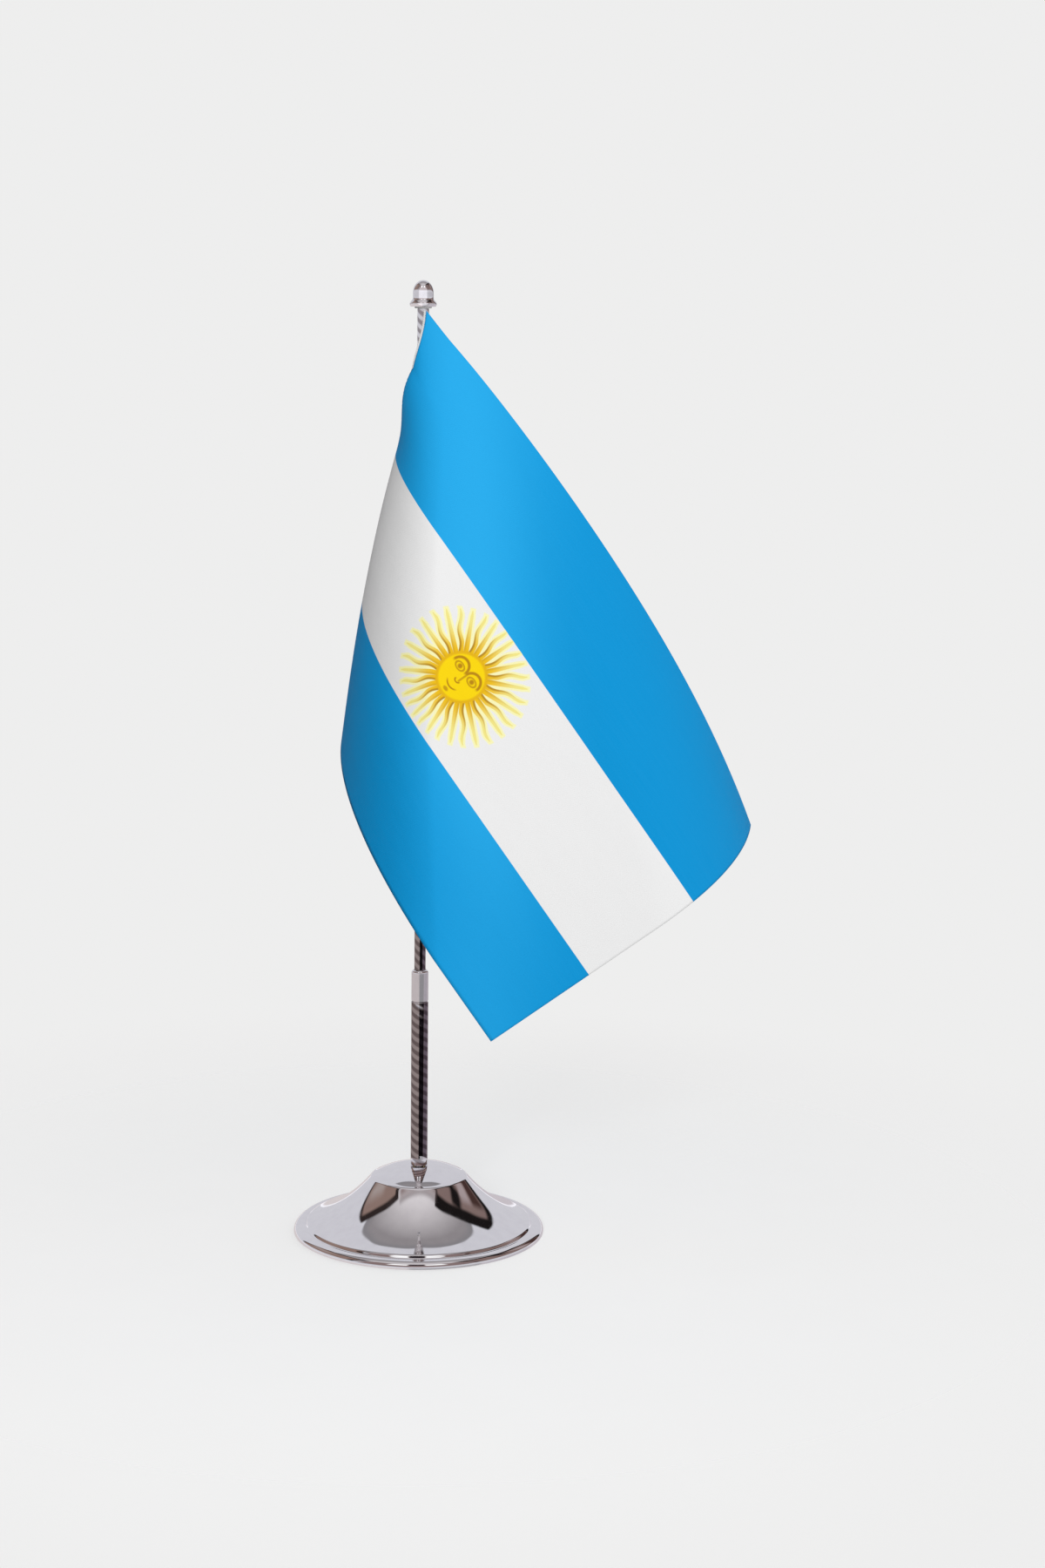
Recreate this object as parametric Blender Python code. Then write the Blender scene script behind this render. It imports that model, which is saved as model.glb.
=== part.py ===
"""Desk flag stand: a bell-shaped chromed base, a two-section telescoping pole and a hung satin flag.

Metres, +Z up. The origin is on the desk under the pole, and the front looks along -Y.
"""

from math import atan2, cos, degrees, exp, hypot, pi, radians, sin

import bmesh
import bpy
from mathutils import Matrix, Vector

# Fits
GAP = 0.0003  # between pieces that rest on each other
RUNNING = 0.0001  # radial clearance of pieces that slide or turn in each other
FINE_STEPS = 40
SMALL_STEPS = 24

# Base: a pressed bell with a rolled lip
BASE_RADIUS = 0.0450
SHELL_WALL = 0.0008
RIM_LIFT = 0.0004  # the rim's height over the desk
CROWN_HEIGHT = 0.0243
SEAT_RADIUS = 0.0042  # flat on top of the crown, where the tube stands
SHOULDER_RADIUS = 0.0174  # where the crown's rounded shoulder runs into the flare
SHOULDER_HEIGHT = 0.0203
SHOULDER_ROUND = 0.0019
SHOULDER_LEAN = radians(39.4)  # how far the surface leans there, from upright
CROWN_LEAN = radians(76.0)
FLARE_TOP_PULL = 0.0092
FLARE_FOOT_PULL = 0.0095
FLARE_FOOT_LEAN = radians(16.6)
BRIM_WIDTH = 0.0049  # from the flare's foot to the rim
BRIM_HEIGHT = 0.0040
LIP_WIDTH = 0.0028
LIP_HEIGHT = 0.0025
LIP_BASE = 0.0006
LIP_INSIDE = radians(112)  # where the rolled lip starts, on its inner side

# What fills the bell
PAD_RADIUS = 0.0400
PAD_THICK = 0.0015
BALLAST_TOP = 0.0120
BOSS_RADIUS = 0.0070
BALLAST_RADIUS = 0.0394
COUNTERBORE_RADIUS = 0.0040
COUNTERBORE_DEPTH = 0.0046

# Clamp screw, M3
SCREW_RADIUS = 0.0015
SCREW_HOLE_RADIUS = 0.0017
SCREW_HEAD_RADIUS = 0.0029
SCREW_HEAD_HEIGHT = 0.0020
SOCKET_RADIUS = 0.0011
SOCKET_DEPTH = 0.0012
WASHER_RADIUS = 0.0034
WASHER_THICK = 0.0005
SPRING_WASHER_RADIUS = 0.0030
SPRING_WASHER_THICK = 0.0007

# Pole
TUBE_WALL = 0.0006
ROD_ROOM = 0.0004  # between the rod and the tube's bore, for the stop washer
TUBE_LENGTH = 0.0603  # up to the ferrule
NECK_LENGTH = 0.0056
NECK_WALL = 0.0003
FERRULE_LENGTH = 0.0112
FERRULE_WALL = 0.0002
FERRULE_ROUND = 0.0010
FERRULE_ROOF = 0.0010
PLUG_LENGTH = 0.0080
ROD_RADIUS = 0.0020
ROD_WALL = 0.00045
ROD_LENGTH = 0.2420
FOOT_FLANGE = 0.0008
FOOT_NECK = 0.0066
FOOT_NECK_RADIUS = 0.0013
SPIGOT_LENGTH = 0.0050
SLEEVE_WALL = 0.0005
SLEEVE_SLIT = radians(24)
STOP_THICK = 0.0006

# Finial
FINIAL_HEIGHT = 0.0090
CAP_RADIUS = 0.00355
CAP_DOME = 0.0042
CAP_STRAIGHT = 0.0013
SKIRT_RADIUS = 0.00463
SKIRT_EDGE = 0.0012
SKIRT_WALL = 0.0009
ROD_IN_FINIAL = 0.0028
STUD_RADIUS = 0.0010
STUD_LENGTH = 0.0032

# Flag, as cut
FLAG_HOIST = 0.1355
FLAG_FLY = 0.2162
CLOTH_THICK = 0.0005
HEM_BACK = 0.0024  # the cloth starts this far from the middle of the hoist tape
TAPE_RADIUS = 0.00045
TAPE_INSET = 0.0006
TIE_RADIUS = 0.00035
CLOTH_ALONG = 32
CLOTH_DOWN = 20
ROWS_NEAR_TOP = 1.5  # above 1, the rows crowd towards the tied corner
# How it hangs
STRIPE_FALL = radians(54.76)  # how steeply the stripes run down to the right
FORWARD_LEAN = 0.046  # how much the front hangs forward, per unit of drop
CORNER_PULL = 0.0079  # how far the tie draws the top corner to the rod
PULL_REACH = 0.036
HOIST_STAND_OFF = 0.0038
HOIST_TURN_LENGTH = 0.045
SWEEP_BACK_LENGTH = 0.040  # below it the threads leave the hoist straight back
CURL_START = 0.038
CURL_SLANT = radians(19.2)
CURL_TURN = radians(76.4)
HEM_LIFT = 0.0272
JOIN_START = 0.01226  # where the top thread joins the flat front
JOIN_REACH = 1.254  # how much further along the bottom one joins it, in hoists
JOIN_POWER = 1.164
JOIN_SIDE = 0.00297  # how far before that a thread already runs with the front
SIDE_REACH = 0.6427
SIDE_EASE = 0.0536
THREAD_EASE = 0.155  # how much shorter the bottom thread hangs, for the cloth's give
CORNER_SLACK = 0.0100
SLACK_REACH = 0.070

# Sizes and heights that follow from the sizes above
TUBE_RADIUS = ROD_RADIUS + ROD_ROOM + TUBE_WALL
TUBE_FOOT = CROWN_HEIGHT + GAP
TUBE_SHOULDER = TUBE_FOOT + TUBE_LENGTH
FERRULE_FOOT = TUBE_SHOULDER + GAP
FERRULE_TOP = FERRULE_FOOT + FERRULE_LENGTH
NECK_TOP = TUBE_SHOULDER + NECK_LENGTH
BUSH_FOOT = NECK_TOP + GAP
BUSH_TOP = FERRULE_TOP - FERRULE_ROOF - GAP
TUBE_BORE = TUBE_RADIUS - TUBE_WALL
FERRULE_BORE = TUBE_RADIUS - FERRULE_WALL
STOP_TOP = BUSH_FOOT - RUNNING
ROD_FOOT_Z = STOP_TOP - STOP_THICK
ROD_TOP = ROD_FOOT_Z + ROD_LENGTH
ROD_BORE = ROD_RADIUS - ROD_WALL
FINIAL_FOOT = ROD_TOP - ROD_IN_FINIAL
FLANGE_RADIUS = TUBE_BORE - RUNNING
PAD_TOP = PAD_THICK
BALLAST_FOOT = PAD_TOP + GAP
COUNTERBORE_TOP = BALLAST_FOOT + COUNTERBORE_DEPTH


def clear_scene():
    for obj in list(bpy.data.objects):
        bpy.data.objects.remove(obj, do_unlink=True)


def material(name, colour, roughness, metallic=0.0):
    made = bpy.data.materials.new(name)
    made.use_nodes = True
    shader = made.node_tree.nodes["Principled BSDF"]
    shader.inputs["Base Color"].default_value = (*colour, 1.0)
    shader.inputs["Roughness"].default_value = roughness
    shader.inputs["Metallic"].default_value = metallic
    return made


def node_from(name, bm, finish, smooth_angle=radians(32)):
    """Makes the bmesh a named object with its material, shaded smooth."""
    mesh = bpy.data.meshes.new(name)
    bm.to_mesh(mesh)
    bm.free()
    mesh.materials.append(finish)
    mesh.shade_smooth()
    mesh.set_sharp_from_angle(angle=smooth_angle)
    obj = bpy.data.objects.new(name, mesh)
    bpy.context.scene.collection.objects.link(obj)
    return obj


def arc(centre, radius, start, stop, steps):
    """Points of an arc in the (radius, height) plane; the radius may be a pair."""
    across, up = radius if isinstance(radius, tuple) else (radius, radius)
    turns = [start + (stop - start) * i / steps for i in range(steps + 1)]
    return [(centre[0] + across * cos(t), centre[1] + up * sin(t)) for t in turns]


def bezier(a, b, c, d, steps):
    points = []
    for i in range(steps + 1):
        t = i / steps
        u = 1 - t
        weights = (u**3, 3 * u * u * t, 3 * u * t * t, t**3)
        points.append(tuple(sum(w * p[k] for w, p in zip(weights, (a, b, c, d))) for k in (0, 1)))
    return points


def offset_inwards(points, distance):
    """The same profile, moved to its right-hand side, which is the metal's side on a line drawn outwards."""
    moved = []
    for i, point in enumerate(points):
        before = points[max(i - 1, 0)]
        after = points[min(i + 1, len(points) - 1)]
        run = (after[0] - before[0], after[1] - before[1])
        length = hypot(*run)
        moved.append((point[0] + distance * run[1] / length, point[1] - distance * run[0] / length))
    return moved


def turned(name, outline, finish, steps=SMALL_STEPS, sweep=2 * pi):
    """Spins an outline of (radius, height) points about the pole. It ends on the axis, or it is a closed ring."""
    bm = bmesh.new()
    verts = [bm.verts.new((r, 0, z)) for r, z in outline]
    edges = [bm.edges.new(pair) for pair in zip(verts, verts[1:])]
    on_axis = outline[0][0] == 0 and outline[-1][0] == 0
    whole = abs(sweep - 2 * pi) < 1e-6
    if not on_axis:
        edges.append(bm.edges.new((verts[-1], verts[0])))
    if not whole:
        bmesh.ops.contextual_create(bm, geom=edges)
    bmesh.ops.spin(
        bm, geom=bm.verts[:] + bm.edges[:] + bm.faces[:], axis=(0, 0, 1), cent=(0, 0, 0),
        angle=sweep, steps=steps, use_merge=whole,
    )
    bmesh.ops.remove_doubles(bm, verts=bm.verts[:], dist=1e-7)
    if not whole:
        bmesh.ops.holes_fill(bm, edges=[e for e in bm.edges if e.is_boundary])
    bmesh.ops.recalc_face_normals(bm, faces=bm.faces[:])
    return node_from(name, bm, finish)


def ring(inner, outer, foot, top):
    return [(inner, foot), (outer, foot), (outer, top), (inner, top)]


def shell_profile():
    """The bell's outer line, from the crown's seat out and down to the rim."""
    start = (SHOULDER_RADIUS, SHOULDER_HEIGHT)
    normal = (cos(SHOULDER_LEAN), sin(SHOULDER_LEAN))
    middle = (start[0] - SHOULDER_ROUND * normal[0], start[1] - SHOULDER_ROUND * normal[1])
    shoulder = arc(middle, SHOULDER_ROUND, CROWN_LEAN, SHOULDER_LEAN, 3)
    edge = shoulder[0]
    crown = []
    for i in range(4):
        r = SEAT_RADIUS + (edge[0] - SEAT_RADIUS) * i / 4
        out = (r - SEAT_RADIUS) / (edge[0] - SEAT_RADIUS)
        crown.append((r, CROWN_HEIGHT - (CROWN_HEIGHT - edge[1]) * out**2))
    foot = (BASE_RADIUS - BRIM_WIDTH, BRIM_HEIGHT)
    flare = bezier(
        start,
        (start[0] + FLARE_TOP_PULL * sin(SHOULDER_LEAN), start[1] - FLARE_TOP_PULL * cos(SHOULDER_LEAN)),
        (foot[0] - FLARE_FOOT_PULL * cos(FLARE_FOOT_LEAN), foot[1] + FLARE_FOOT_PULL * sin(FLARE_FOOT_LEAN)),
        foot,
        8,
    )
    lip = arc((BASE_RADIUS - LIP_WIDTH, LIP_BASE), (LIP_WIDTH, LIP_HEIGHT), LIP_INSIDE, 0, 6)
    valley = bezier(foot, (foot[0] + 0.0004, foot[1] - 0.0002), (lip[0][0] - 0.0005, lip[0][1] - 0.0001), lip[0], 3)
    return crown + shoulder + flare[1:] + valley[1:] + lip[1:] + [(BASE_RADIUS, RIM_LIFT)]


def make_base_shell(chrome):
    outer = shell_profile()
    inner = offset_inwards(outer, SHELL_WALL)
    inner[-1] = (BASE_RADIUS - SHELL_WALL, RIM_LIFT)
    hole_top = [(SCREW_HOLE_RADIUS, CROWN_HEIGHT)]
    hole_foot = [(SCREW_HOLE_RADIUS, CROWN_HEIGHT - SHELL_WALL)]
    return turned("base_shell", hole_top + outer + inner[::-1] + hole_foot, chrome, FINE_STEPS)


def make_ballast(iron):
    """Cast weight that follows the bell from inside up to BALLAST_TOP, with a boss that backs the crown."""
    under = offset_inwards(shell_profile(), SHELL_WALL + GAP)
    wall = [p for p in under if p[0] > BOSS_RADIUS and BALLAST_FOOT < p[1] < BALLAST_TOP and p[0] < BALLAST_RADIUS]
    top_radius = wall[0][0]
    boss_top = CROWN_HEIGHT - SHELL_WALL - GAP
    outline = [
        (SCREW_HOLE_RADIUS, boss_top),
        (BOSS_RADIUS - 0.001, boss_top),
        (BOSS_RADIUS, boss_top - 0.001),
        (BOSS_RADIUS, BALLAST_TOP),
        (top_radius - 0.0005, BALLAST_TOP),
    ]
    outline += wall
    outline += [
        (wall[-1][0], BALLAST_FOOT),
        (COUNTERBORE_RADIUS, BALLAST_FOOT),
        (COUNTERBORE_RADIUS, COUNTERBORE_TOP),
        (SCREW_HOLE_RADIUS, COUNTERBORE_TOP),
    ]
    return turned("ballast_casting", outline, iron, FINE_STEPS)


def make_base_pad(felt):
    edge = 0.0003
    outline = [
        (0, 0),
        (PAD_RADIUS - edge, 0),
        (PAD_RADIUS, edge),
        (PAD_RADIUS, PAD_TOP),
        (0, PAD_TOP),
    ]
    return turned("base_pad", outline, felt, FINE_STEPS)


def make_clamp_screw(steel):
    """Pan head screw with its washers, up through the ballast and the crown."""
    washer_top = COUNTERBORE_TOP - GAP
    spring_top = washer_top - WASHER_THICK - GAP
    head_top = spring_top - SPRING_WASHER_THICK - GAP
    head_foot = head_top - SCREW_HEAD_HEIGHT
    turned("screw_washer", ring(SCREW_HOLE_RADIUS, WASHER_RADIUS, washer_top - WASHER_THICK, washer_top), steel)
    turned(
        "spring_washer",
        ring(SCREW_HOLE_RADIUS, SPRING_WASHER_RADIUS, spring_top - SPRING_WASHER_THICK, spring_top),
        steel, sweep=2 * pi - radians(14),
    )
    tip = TUBE_FOOT + GAP + PLUG_LENGTH - 0.0022
    outline = [(0, head_foot)]
    outline += arc((SCREW_HEAD_RADIUS - 0.0008, head_foot + 0.0008), 0.0008, -pi / 2, 0, 4)
    outline += [
        (SCREW_HEAD_RADIUS, head_top),
        (SCREW_RADIUS, head_top),
        (SCREW_RADIUS, tip - 0.0005),
        (SCREW_RADIUS - 0.0005, tip),
        (0, tip),
    ]
    screw = turned("base_screw", outline, steel)
    bm = bmesh.new()
    bmesh.ops.create_cone(
        bm, cap_ends=True, segments=6, radius1=SOCKET_RADIUS, radius2=SOCKET_RADIUS, depth=2 * SOCKET_DEPTH,
        matrix=Matrix.Translation((0, 0, head_foot)),
    )
    cutter = node_from("socket_cutter", bm, steel)
    cutter.hide_render = True
    cutter.display_type = "WIRE"
    cut = screw.modifiers.new("socket", "BOOLEAN")
    cut.operation = "DIFFERENCE"
    cut.object = cutter


def make_lower_tube(chrome, brass):
    chamfer = 0.0002
    neck = TUBE_BORE + NECK_WALL
    outline = [
        (TUBE_BORE, TUBE_FOOT),
        (TUBE_RADIUS - chamfer, TUBE_FOOT),
        (TUBE_RADIUS, TUBE_FOOT + chamfer),
        (TUBE_RADIUS, TUBE_SHOULDER),
        (neck, TUBE_SHOULDER),
        (neck, NECK_TOP),
        (TUBE_BORE, NECK_TOP),
    ]
    turned("lower_tube", outline, chrome)
    plug_foot = TUBE_FOOT + GAP
    plug_top = plug_foot + PLUG_LENGTH
    plug_radius = TUBE_BORE - RUNNING
    tapped = SCREW_RADIUS + RUNNING
    outline = [
        (0, plug_top - 0.0012),
        (tapped, plug_top - 0.0012),
        (tapped, plug_foot),
        (plug_radius, plug_foot),
        (plug_radius, plug_top - 0.0004),
        (plug_radius - 0.0004, plug_top),
        (0, plug_top),
    ]
    turned("tube_plug", outline, brass)


def make_ferrule(chrome, nylon):
    """Round-shouldered end cap on the tube's neck, and the bush that it traps."""
    hole = ROD_RADIUS + RUNNING + 0.00005
    outline = [
        (FERRULE_BORE, FERRULE_FOOT),
        (TUBE_RADIUS - 0.0001, FERRULE_FOOT),
        (TUBE_RADIUS, FERRULE_FOOT + 0.0001),
    ]
    shoulder = (TUBE_RADIUS - FERRULE_ROUND, FERRULE_TOP - FERRULE_ROUND)
    outline += [p for p in arc(shoulder, FERRULE_ROUND, 0, pi / 2, 5) if p[0] > hole + 0.0001]
    outline += [
        (hole, FERRULE_TOP),
        (hole, FERRULE_TOP - FERRULE_ROOF),
        (FERRULE_BORE, FERRULE_TOP - FERRULE_ROOF),
    ]
    turned("tube_ferrule", outline, chrome)
    turned("guide_bush", ring(ROD_RADIUS + RUNNING, FERRULE_BORE - RUNNING, BUSH_FOOT, BUSH_TOP), nylon)


def make_rod(chrome, brass, bronze):
    """The sliding section: its tube, the foot with the friction sleeve, and the insert with the stud."""
    turned("upper_rod", ring(ROD_BORE, ROD_RADIUS, ROD_FOOT_Z, ROD_TOP), chrome)
    stop_foot = STOP_TOP - STOP_THICK + RUNNING
    turned(
        "stop_washer", ring(ROD_RADIUS + RUNNING, FLANGE_RADIUS, stop_foot, stop_foot + STOP_THICK - RUNNING),
        brass,
    )
    upper_top = ROD_FOOT_Z - GAP
    neck_top = upper_top - FOOT_FLANGE
    neck_foot = neck_top - FOOT_NECK
    spigot = ROD_BORE - RUNNING
    outline = [
        (0, neck_foot - FOOT_FLANGE),
        (FLANGE_RADIUS - 0.0002, neck_foot - FOOT_FLANGE),
        (FLANGE_RADIUS, neck_foot - FOOT_FLANGE + 0.0002),
        (FLANGE_RADIUS, neck_foot),
        (FOOT_NECK_RADIUS, neck_foot),
        (FOOT_NECK_RADIUS, neck_top),
        (FLANGE_RADIUS, neck_top),
        (FLANGE_RADIUS, upper_top),
        (spigot, upper_top),
        (spigot, upper_top + SPIGOT_LENGTH),
        (0, upper_top + SPIGOT_LENGTH),
    ]
    turned("rod_foot", outline, brass)
    make_friction_sleeve(bronze, neck_foot + GAP, neck_top - GAP)
    make_rod_tip(brass)


def make_friction_sleeve(bronze, foot, top):
    """Barrel-shaped split sleeve, widest at half height, where it presses on the tube's bore."""
    belly = 0.00025
    steps = 4
    outer = []
    for i in range(steps + 1):
        t = i / steps
        outer.append((FLANGE_RADIUS + RUNNING / 2 - belly * (2 * t - 1) ** 2, foot + (top - foot) * t))
    inner = [(r - SLEEVE_WALL, z) for r, z in outer[::-1]]
    turned("friction_sleeve", outer + inner, bronze, sweep=2 * pi - SLEEVE_SLIT)


def make_rod_tip(brass):
    spigot = ROD_BORE - RUNNING
    collar_foot = ROD_TOP + GAP
    collar_top = collar_foot + 0.0004
    outline = [
        (0, ROD_TOP - SPIGOT_LENGTH),
        (spigot, ROD_TOP - SPIGOT_LENGTH),
        (spigot, collar_foot),
        (ROD_RADIUS - 0.0001, collar_foot),
        (ROD_RADIUS - 0.0001, collar_top),
        (STUD_RADIUS, collar_top),
        (STUD_RADIUS, collar_top + STUD_LENGTH),
        (0, collar_top + STUD_LENGTH),
    ]
    turned("rod_tip", outline, brass)


def make_finial(chrome):
    """A small bell: a domed cap over a flared skirt, hollow where the rod and the flag's tie go in."""
    top = FINIAL_FOOT + FINIAL_HEIGHT
    dome_foot = top - CAP_DOME
    waist = dome_foot - CAP_STRAIGHT
    skirt = FINIAL_FOOT + SKIRT_EDGE
    inner_skirt = SKIRT_RADIUS - SKIRT_WALL
    bore = ROD_RADIUS + GAP
    roof = ROD_TOP + GAP + 0.0004 + GAP
    stud_hole = STUD_RADIUS + RUNNING
    stud_top = roof + STUD_LENGTH
    outline = [(0, top)]
    outline += arc((0, dome_foot), (CAP_RADIUS, CAP_DOME), radians(78), 0, 7)
    outline += [(CAP_RADIUS, waist)]
    flare = bezier((CAP_RADIUS, waist), (CAP_RADIUS, skirt + 0.001), (SKIRT_RADIUS - 0.0007, skirt + 0.0012),
                   (SKIRT_RADIUS, skirt), 5)
    outline += flare[1:]
    outline += arc((SKIRT_RADIUS - 0.0005, skirt), (0.0005, SKIRT_EDGE), 0, -pi / 2, 4)[1:]
    outline += [
        (inner_skirt, FINIAL_FOOT),
        (inner_skirt - 0.0003, skirt + 0.0006),
        (bore, waist),
        (bore, roof),
        (stud_hole, roof),
        (stud_hole, stud_top),
        (0, stud_top),
    ]
    return turned("finial", outline, chrome)


def ease(t):
    t = min(max(t, 0.0), 1.0)
    return t * t * (3 - 2 * t)


CORNER = Vector((0.0007, -(HOIST_STAND_OFF + 0.0012), FINIAL_FOOT - 0.0006))
ALONG = Vector((cos(STRIPE_FALL), 0, -sin(STRIPE_FALL)))
DOWN = Vector((-sin(STRIPE_FALL), 0, -cos(STRIPE_FALL)))


def hoist_point(w):
    """A point of the hoist edge, which turns from the rod's front round its left side to its back."""
    turn = radians(-80) - radians(170) * ease(w / HOIST_TURN_LENGTH)
    return Vector((HOIST_STAND_OFF * cos(turn), HOIST_STAND_OFF * sin(turn), CORNER.z - w))


def front_point(s, w):
    """Where the point s along and w down the cloth hangs, in the flat front of the flag."""
    share = w / FLAG_HOIST
    lifted = w * (1 - HEM_LIFT * ease((share - 0.55) / 0.45))
    point = Vector((CORNER.x + CORNER_PULL, 0, CORNER.z - 0.0014)) + s * ALONG + lifted * DOWN
    point.y = CORNER.y - FORWARD_LEAN * (CORNER.z - point.z)
    point.x -= CORNER_PULL * exp(-s / PULL_REACH) * (1 - share) ** 2
    return point


def loop_points(w, back, steps=24):
    """One thread from the hoist, back and round the left, to where it joins the flat front."""
    share = w / FLAG_HOIST
    start = hoist_point(w)
    join_s = min(JOIN_START + JOIN_REACH * FLAG_HOIST * share**JOIN_POWER, 0.97 * FLAG_FLY)
    join = front_point(join_s, w)
    ahead = (front_point(join_s + 0.001, w) - join).normalized()
    leaving = Vector((-1.0, -0.5, -0.2)).lerp(Vector((-0.42, 0.9, -0.10)), ease(w / SWEEP_BACK_LENGTH))
    first = start + back * leaving
    side = JOIN_SIDE + FLAG_HOIST * (SIDE_REACH * share - SIDE_EASE * share**3)
    second = join - side * ahead + Vector((0, 0.12 * back, 0))
    points = []
    for i in range(steps + 1):
        t = i / steps
        u = 1 - t
        points.append(u**3 * start + 3 * u * u * t * first + 3 * u * t * t * second + t**3 * join)
    return points, join_s


def length_of(points):
    return sum((b - a).length for a, b in zip(points, points[1:]))


def thread(w):
    """The whole thread at w as a polyline. The loop behind the rod is as deep as the thread's length asks."""
    shallow, deep = 0.0, 0.30
    join_s = loop_points(w, 0)[1]
    wanted = join_s * (1 - THREAD_EASE * w / FLAG_HOIST) - CORNER_SLACK * (1 - ease(w / SLACK_REACH))
    for _ in range(24):
        back = (shallow + deep) / 2
        points = loop_points(w, back)[0]
        if length_of(points) < wanted:
            shallow = back
        else:
            deep = back
    straight = [front_point(join_s + (FLAG_FLY - join_s) * i / 16, w) for i in range(1, 17)]
    return points + straight


def curled(point, s, w):
    """Bends the free top corner back about a slanting line."""
    past = (s - CURL_START) * sin(CURL_SLANT) - w * cos(CURL_SLANT)
    if past <= 0:
        return point
    bend = CURL_TURN / ((FLAG_FLY - CURL_START) * sin(CURL_SLANT))
    across = sin(CURL_SLANT) * ALONG - cos(CURL_SLANT) * DOWN
    return point + across * (sin(bend * past) / bend - past) + Vector((0, (1 - cos(bend * past)) / bend, 0))


def along_thread(points, share):
    """The point at this share of a polyline's length."""
    left = share * length_of(points)
    for a, b in zip(points, points[1:]):
        step = (b - a).length
        if left <= step:
            return a.lerp(b, left / step)
        left -= step
    return points[-1]


def make_flag_cloth(satin):
    """The flag as one closed sheet, hung from its top corner and swept round in front of the rod."""
    bm = bmesh.new()
    bmesh.ops.create_grid(bm, x_segments=CLOTH_ALONG, y_segments=CLOTH_DOWN, size=0.5)
    rows = {}
    for vert in bm.verts:
        s = HEM_BACK + (FLAG_FLY - HEM_BACK) * (vert.co.x + 0.5)
        w = FLAG_HOIST * (0.5 - vert.co.y) ** ROWS_NEAR_TOP
        key = round(w, 6)
        if key not in rows:
            rows[key] = thread(w)
        vert.co = curled(along_thread(rows[key], s / FLAG_FLY), s, w)
    bmesh.ops.recalc_face_normals(bm, faces=bm.faces[:])
    cloth = node_from("flag_cloth", bm, satin, radians(80))
    thicken = cloth.modifiers.new("thickness", "SOLIDIFY")
    thicken.thickness = CLOTH_THICK
    thicken.offset = 0
    return cloth


def tube_along(name, points, radius, finish, closed=False):
    """A thin round cord on a smooth run of points."""
    curve = bpy.data.curves.new(name, "CURVE")
    curve.dimensions = "3D"
    curve.bevel_depth = radius
    curve.bevel_resolution = 2
    curve.use_fill_caps = True
    spline = curve.splines.new("POLY")
    spline.points.add(len(points) - 1)
    for target, point in zip(spline.points, points):
        target.co = (*point, 1)
    spline.use_cyclic_u = closed
    curve.materials.append(finish)
    obj = bpy.data.objects.new(name, curve)
    bpy.context.scene.collection.objects.link(obj)
    return obj


def make_hoist(thread_white):
    """The corded heading along the hoist, and the thread loops that hold it to the rod."""
    low = FLAG_HOIST - TAPE_INSET
    count = 40
    tape = [hoist_point(TAPE_INSET + (low - TAPE_INSET) * i / count) for i in range(count + 1)]
    tube_along("hoist_tape", tape, TAPE_RADIUS, thread_white)
    loop_radius = ROD_RADIUS + GAP + TIE_RADIUS
    heights = {"top_tie": FINIAL_FOOT - 0.0002, "bottom_tie": CORNER.z - FLAG_HOIST + 0.0026}
    for name, z in heights.items():
        turns = [2 * pi * i / 24 for i in range(24)]
        loop = [Vector((loop_radius * cos(t), loop_radius * sin(t), z)) for t in turns]
        tube_along(name, loop, TIE_RADIUS, thread_white, closed=True)


def main():
    clear_scene()
    chrome = material("chrome", (0.80, 0.80, 0.82), 0.06, 1.0)
    iron = material("cast iron", (0.12, 0.12, 0.13), 0.65, 0.8)
    steel = material("zinc steel", (0.62, 0.63, 0.66), 0.30, 1.0)
    brass = material("brass", (0.78, 0.60, 0.28), 0.28, 1.0)
    bronze = material("phosphor bronze", (0.72, 0.45, 0.27), 0.32, 1.0)
    nylon = material("natural nylon", (0.82, 0.80, 0.74), 0.45)
    felt = material("black felt", (0.03, 0.03, 0.035), 0.95)
    satin = material("light blue satin", (0.02, 0.34, 0.72), 0.45)
    white = material("white thread", (0.85, 0.85, 0.84), 0.70)
    make_base_shell(chrome)
    make_ballast(iron)
    make_base_pad(felt)
    make_clamp_screw(steel)
    make_lower_tube(chrome, brass)
    make_ferrule(chrome, nylon)
    make_rod(chrome, brass, bronze)
    make_finial(chrome)
    make_flag_cloth(satin)
    make_hoist(white)


main()
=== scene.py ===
# %% [markdown]
# # A desk flag stand, built piece by piece
#
# The stand is a bell-shaped chromed base, a pole in two sections that slide in each
# other, a small bell finial and a satin flag that hangs from its top corner. The frame
# holds the measured parts, and everything here is fitted to it. Units are metres, the
# desk is at z = 0, the pole stands on the z axis and the front looks along -y.

from math import cos, exp, hypot, pi, radians, sin

import bmesh
import bpy
from mathutils import Euler, Matrix, Vector


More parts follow.
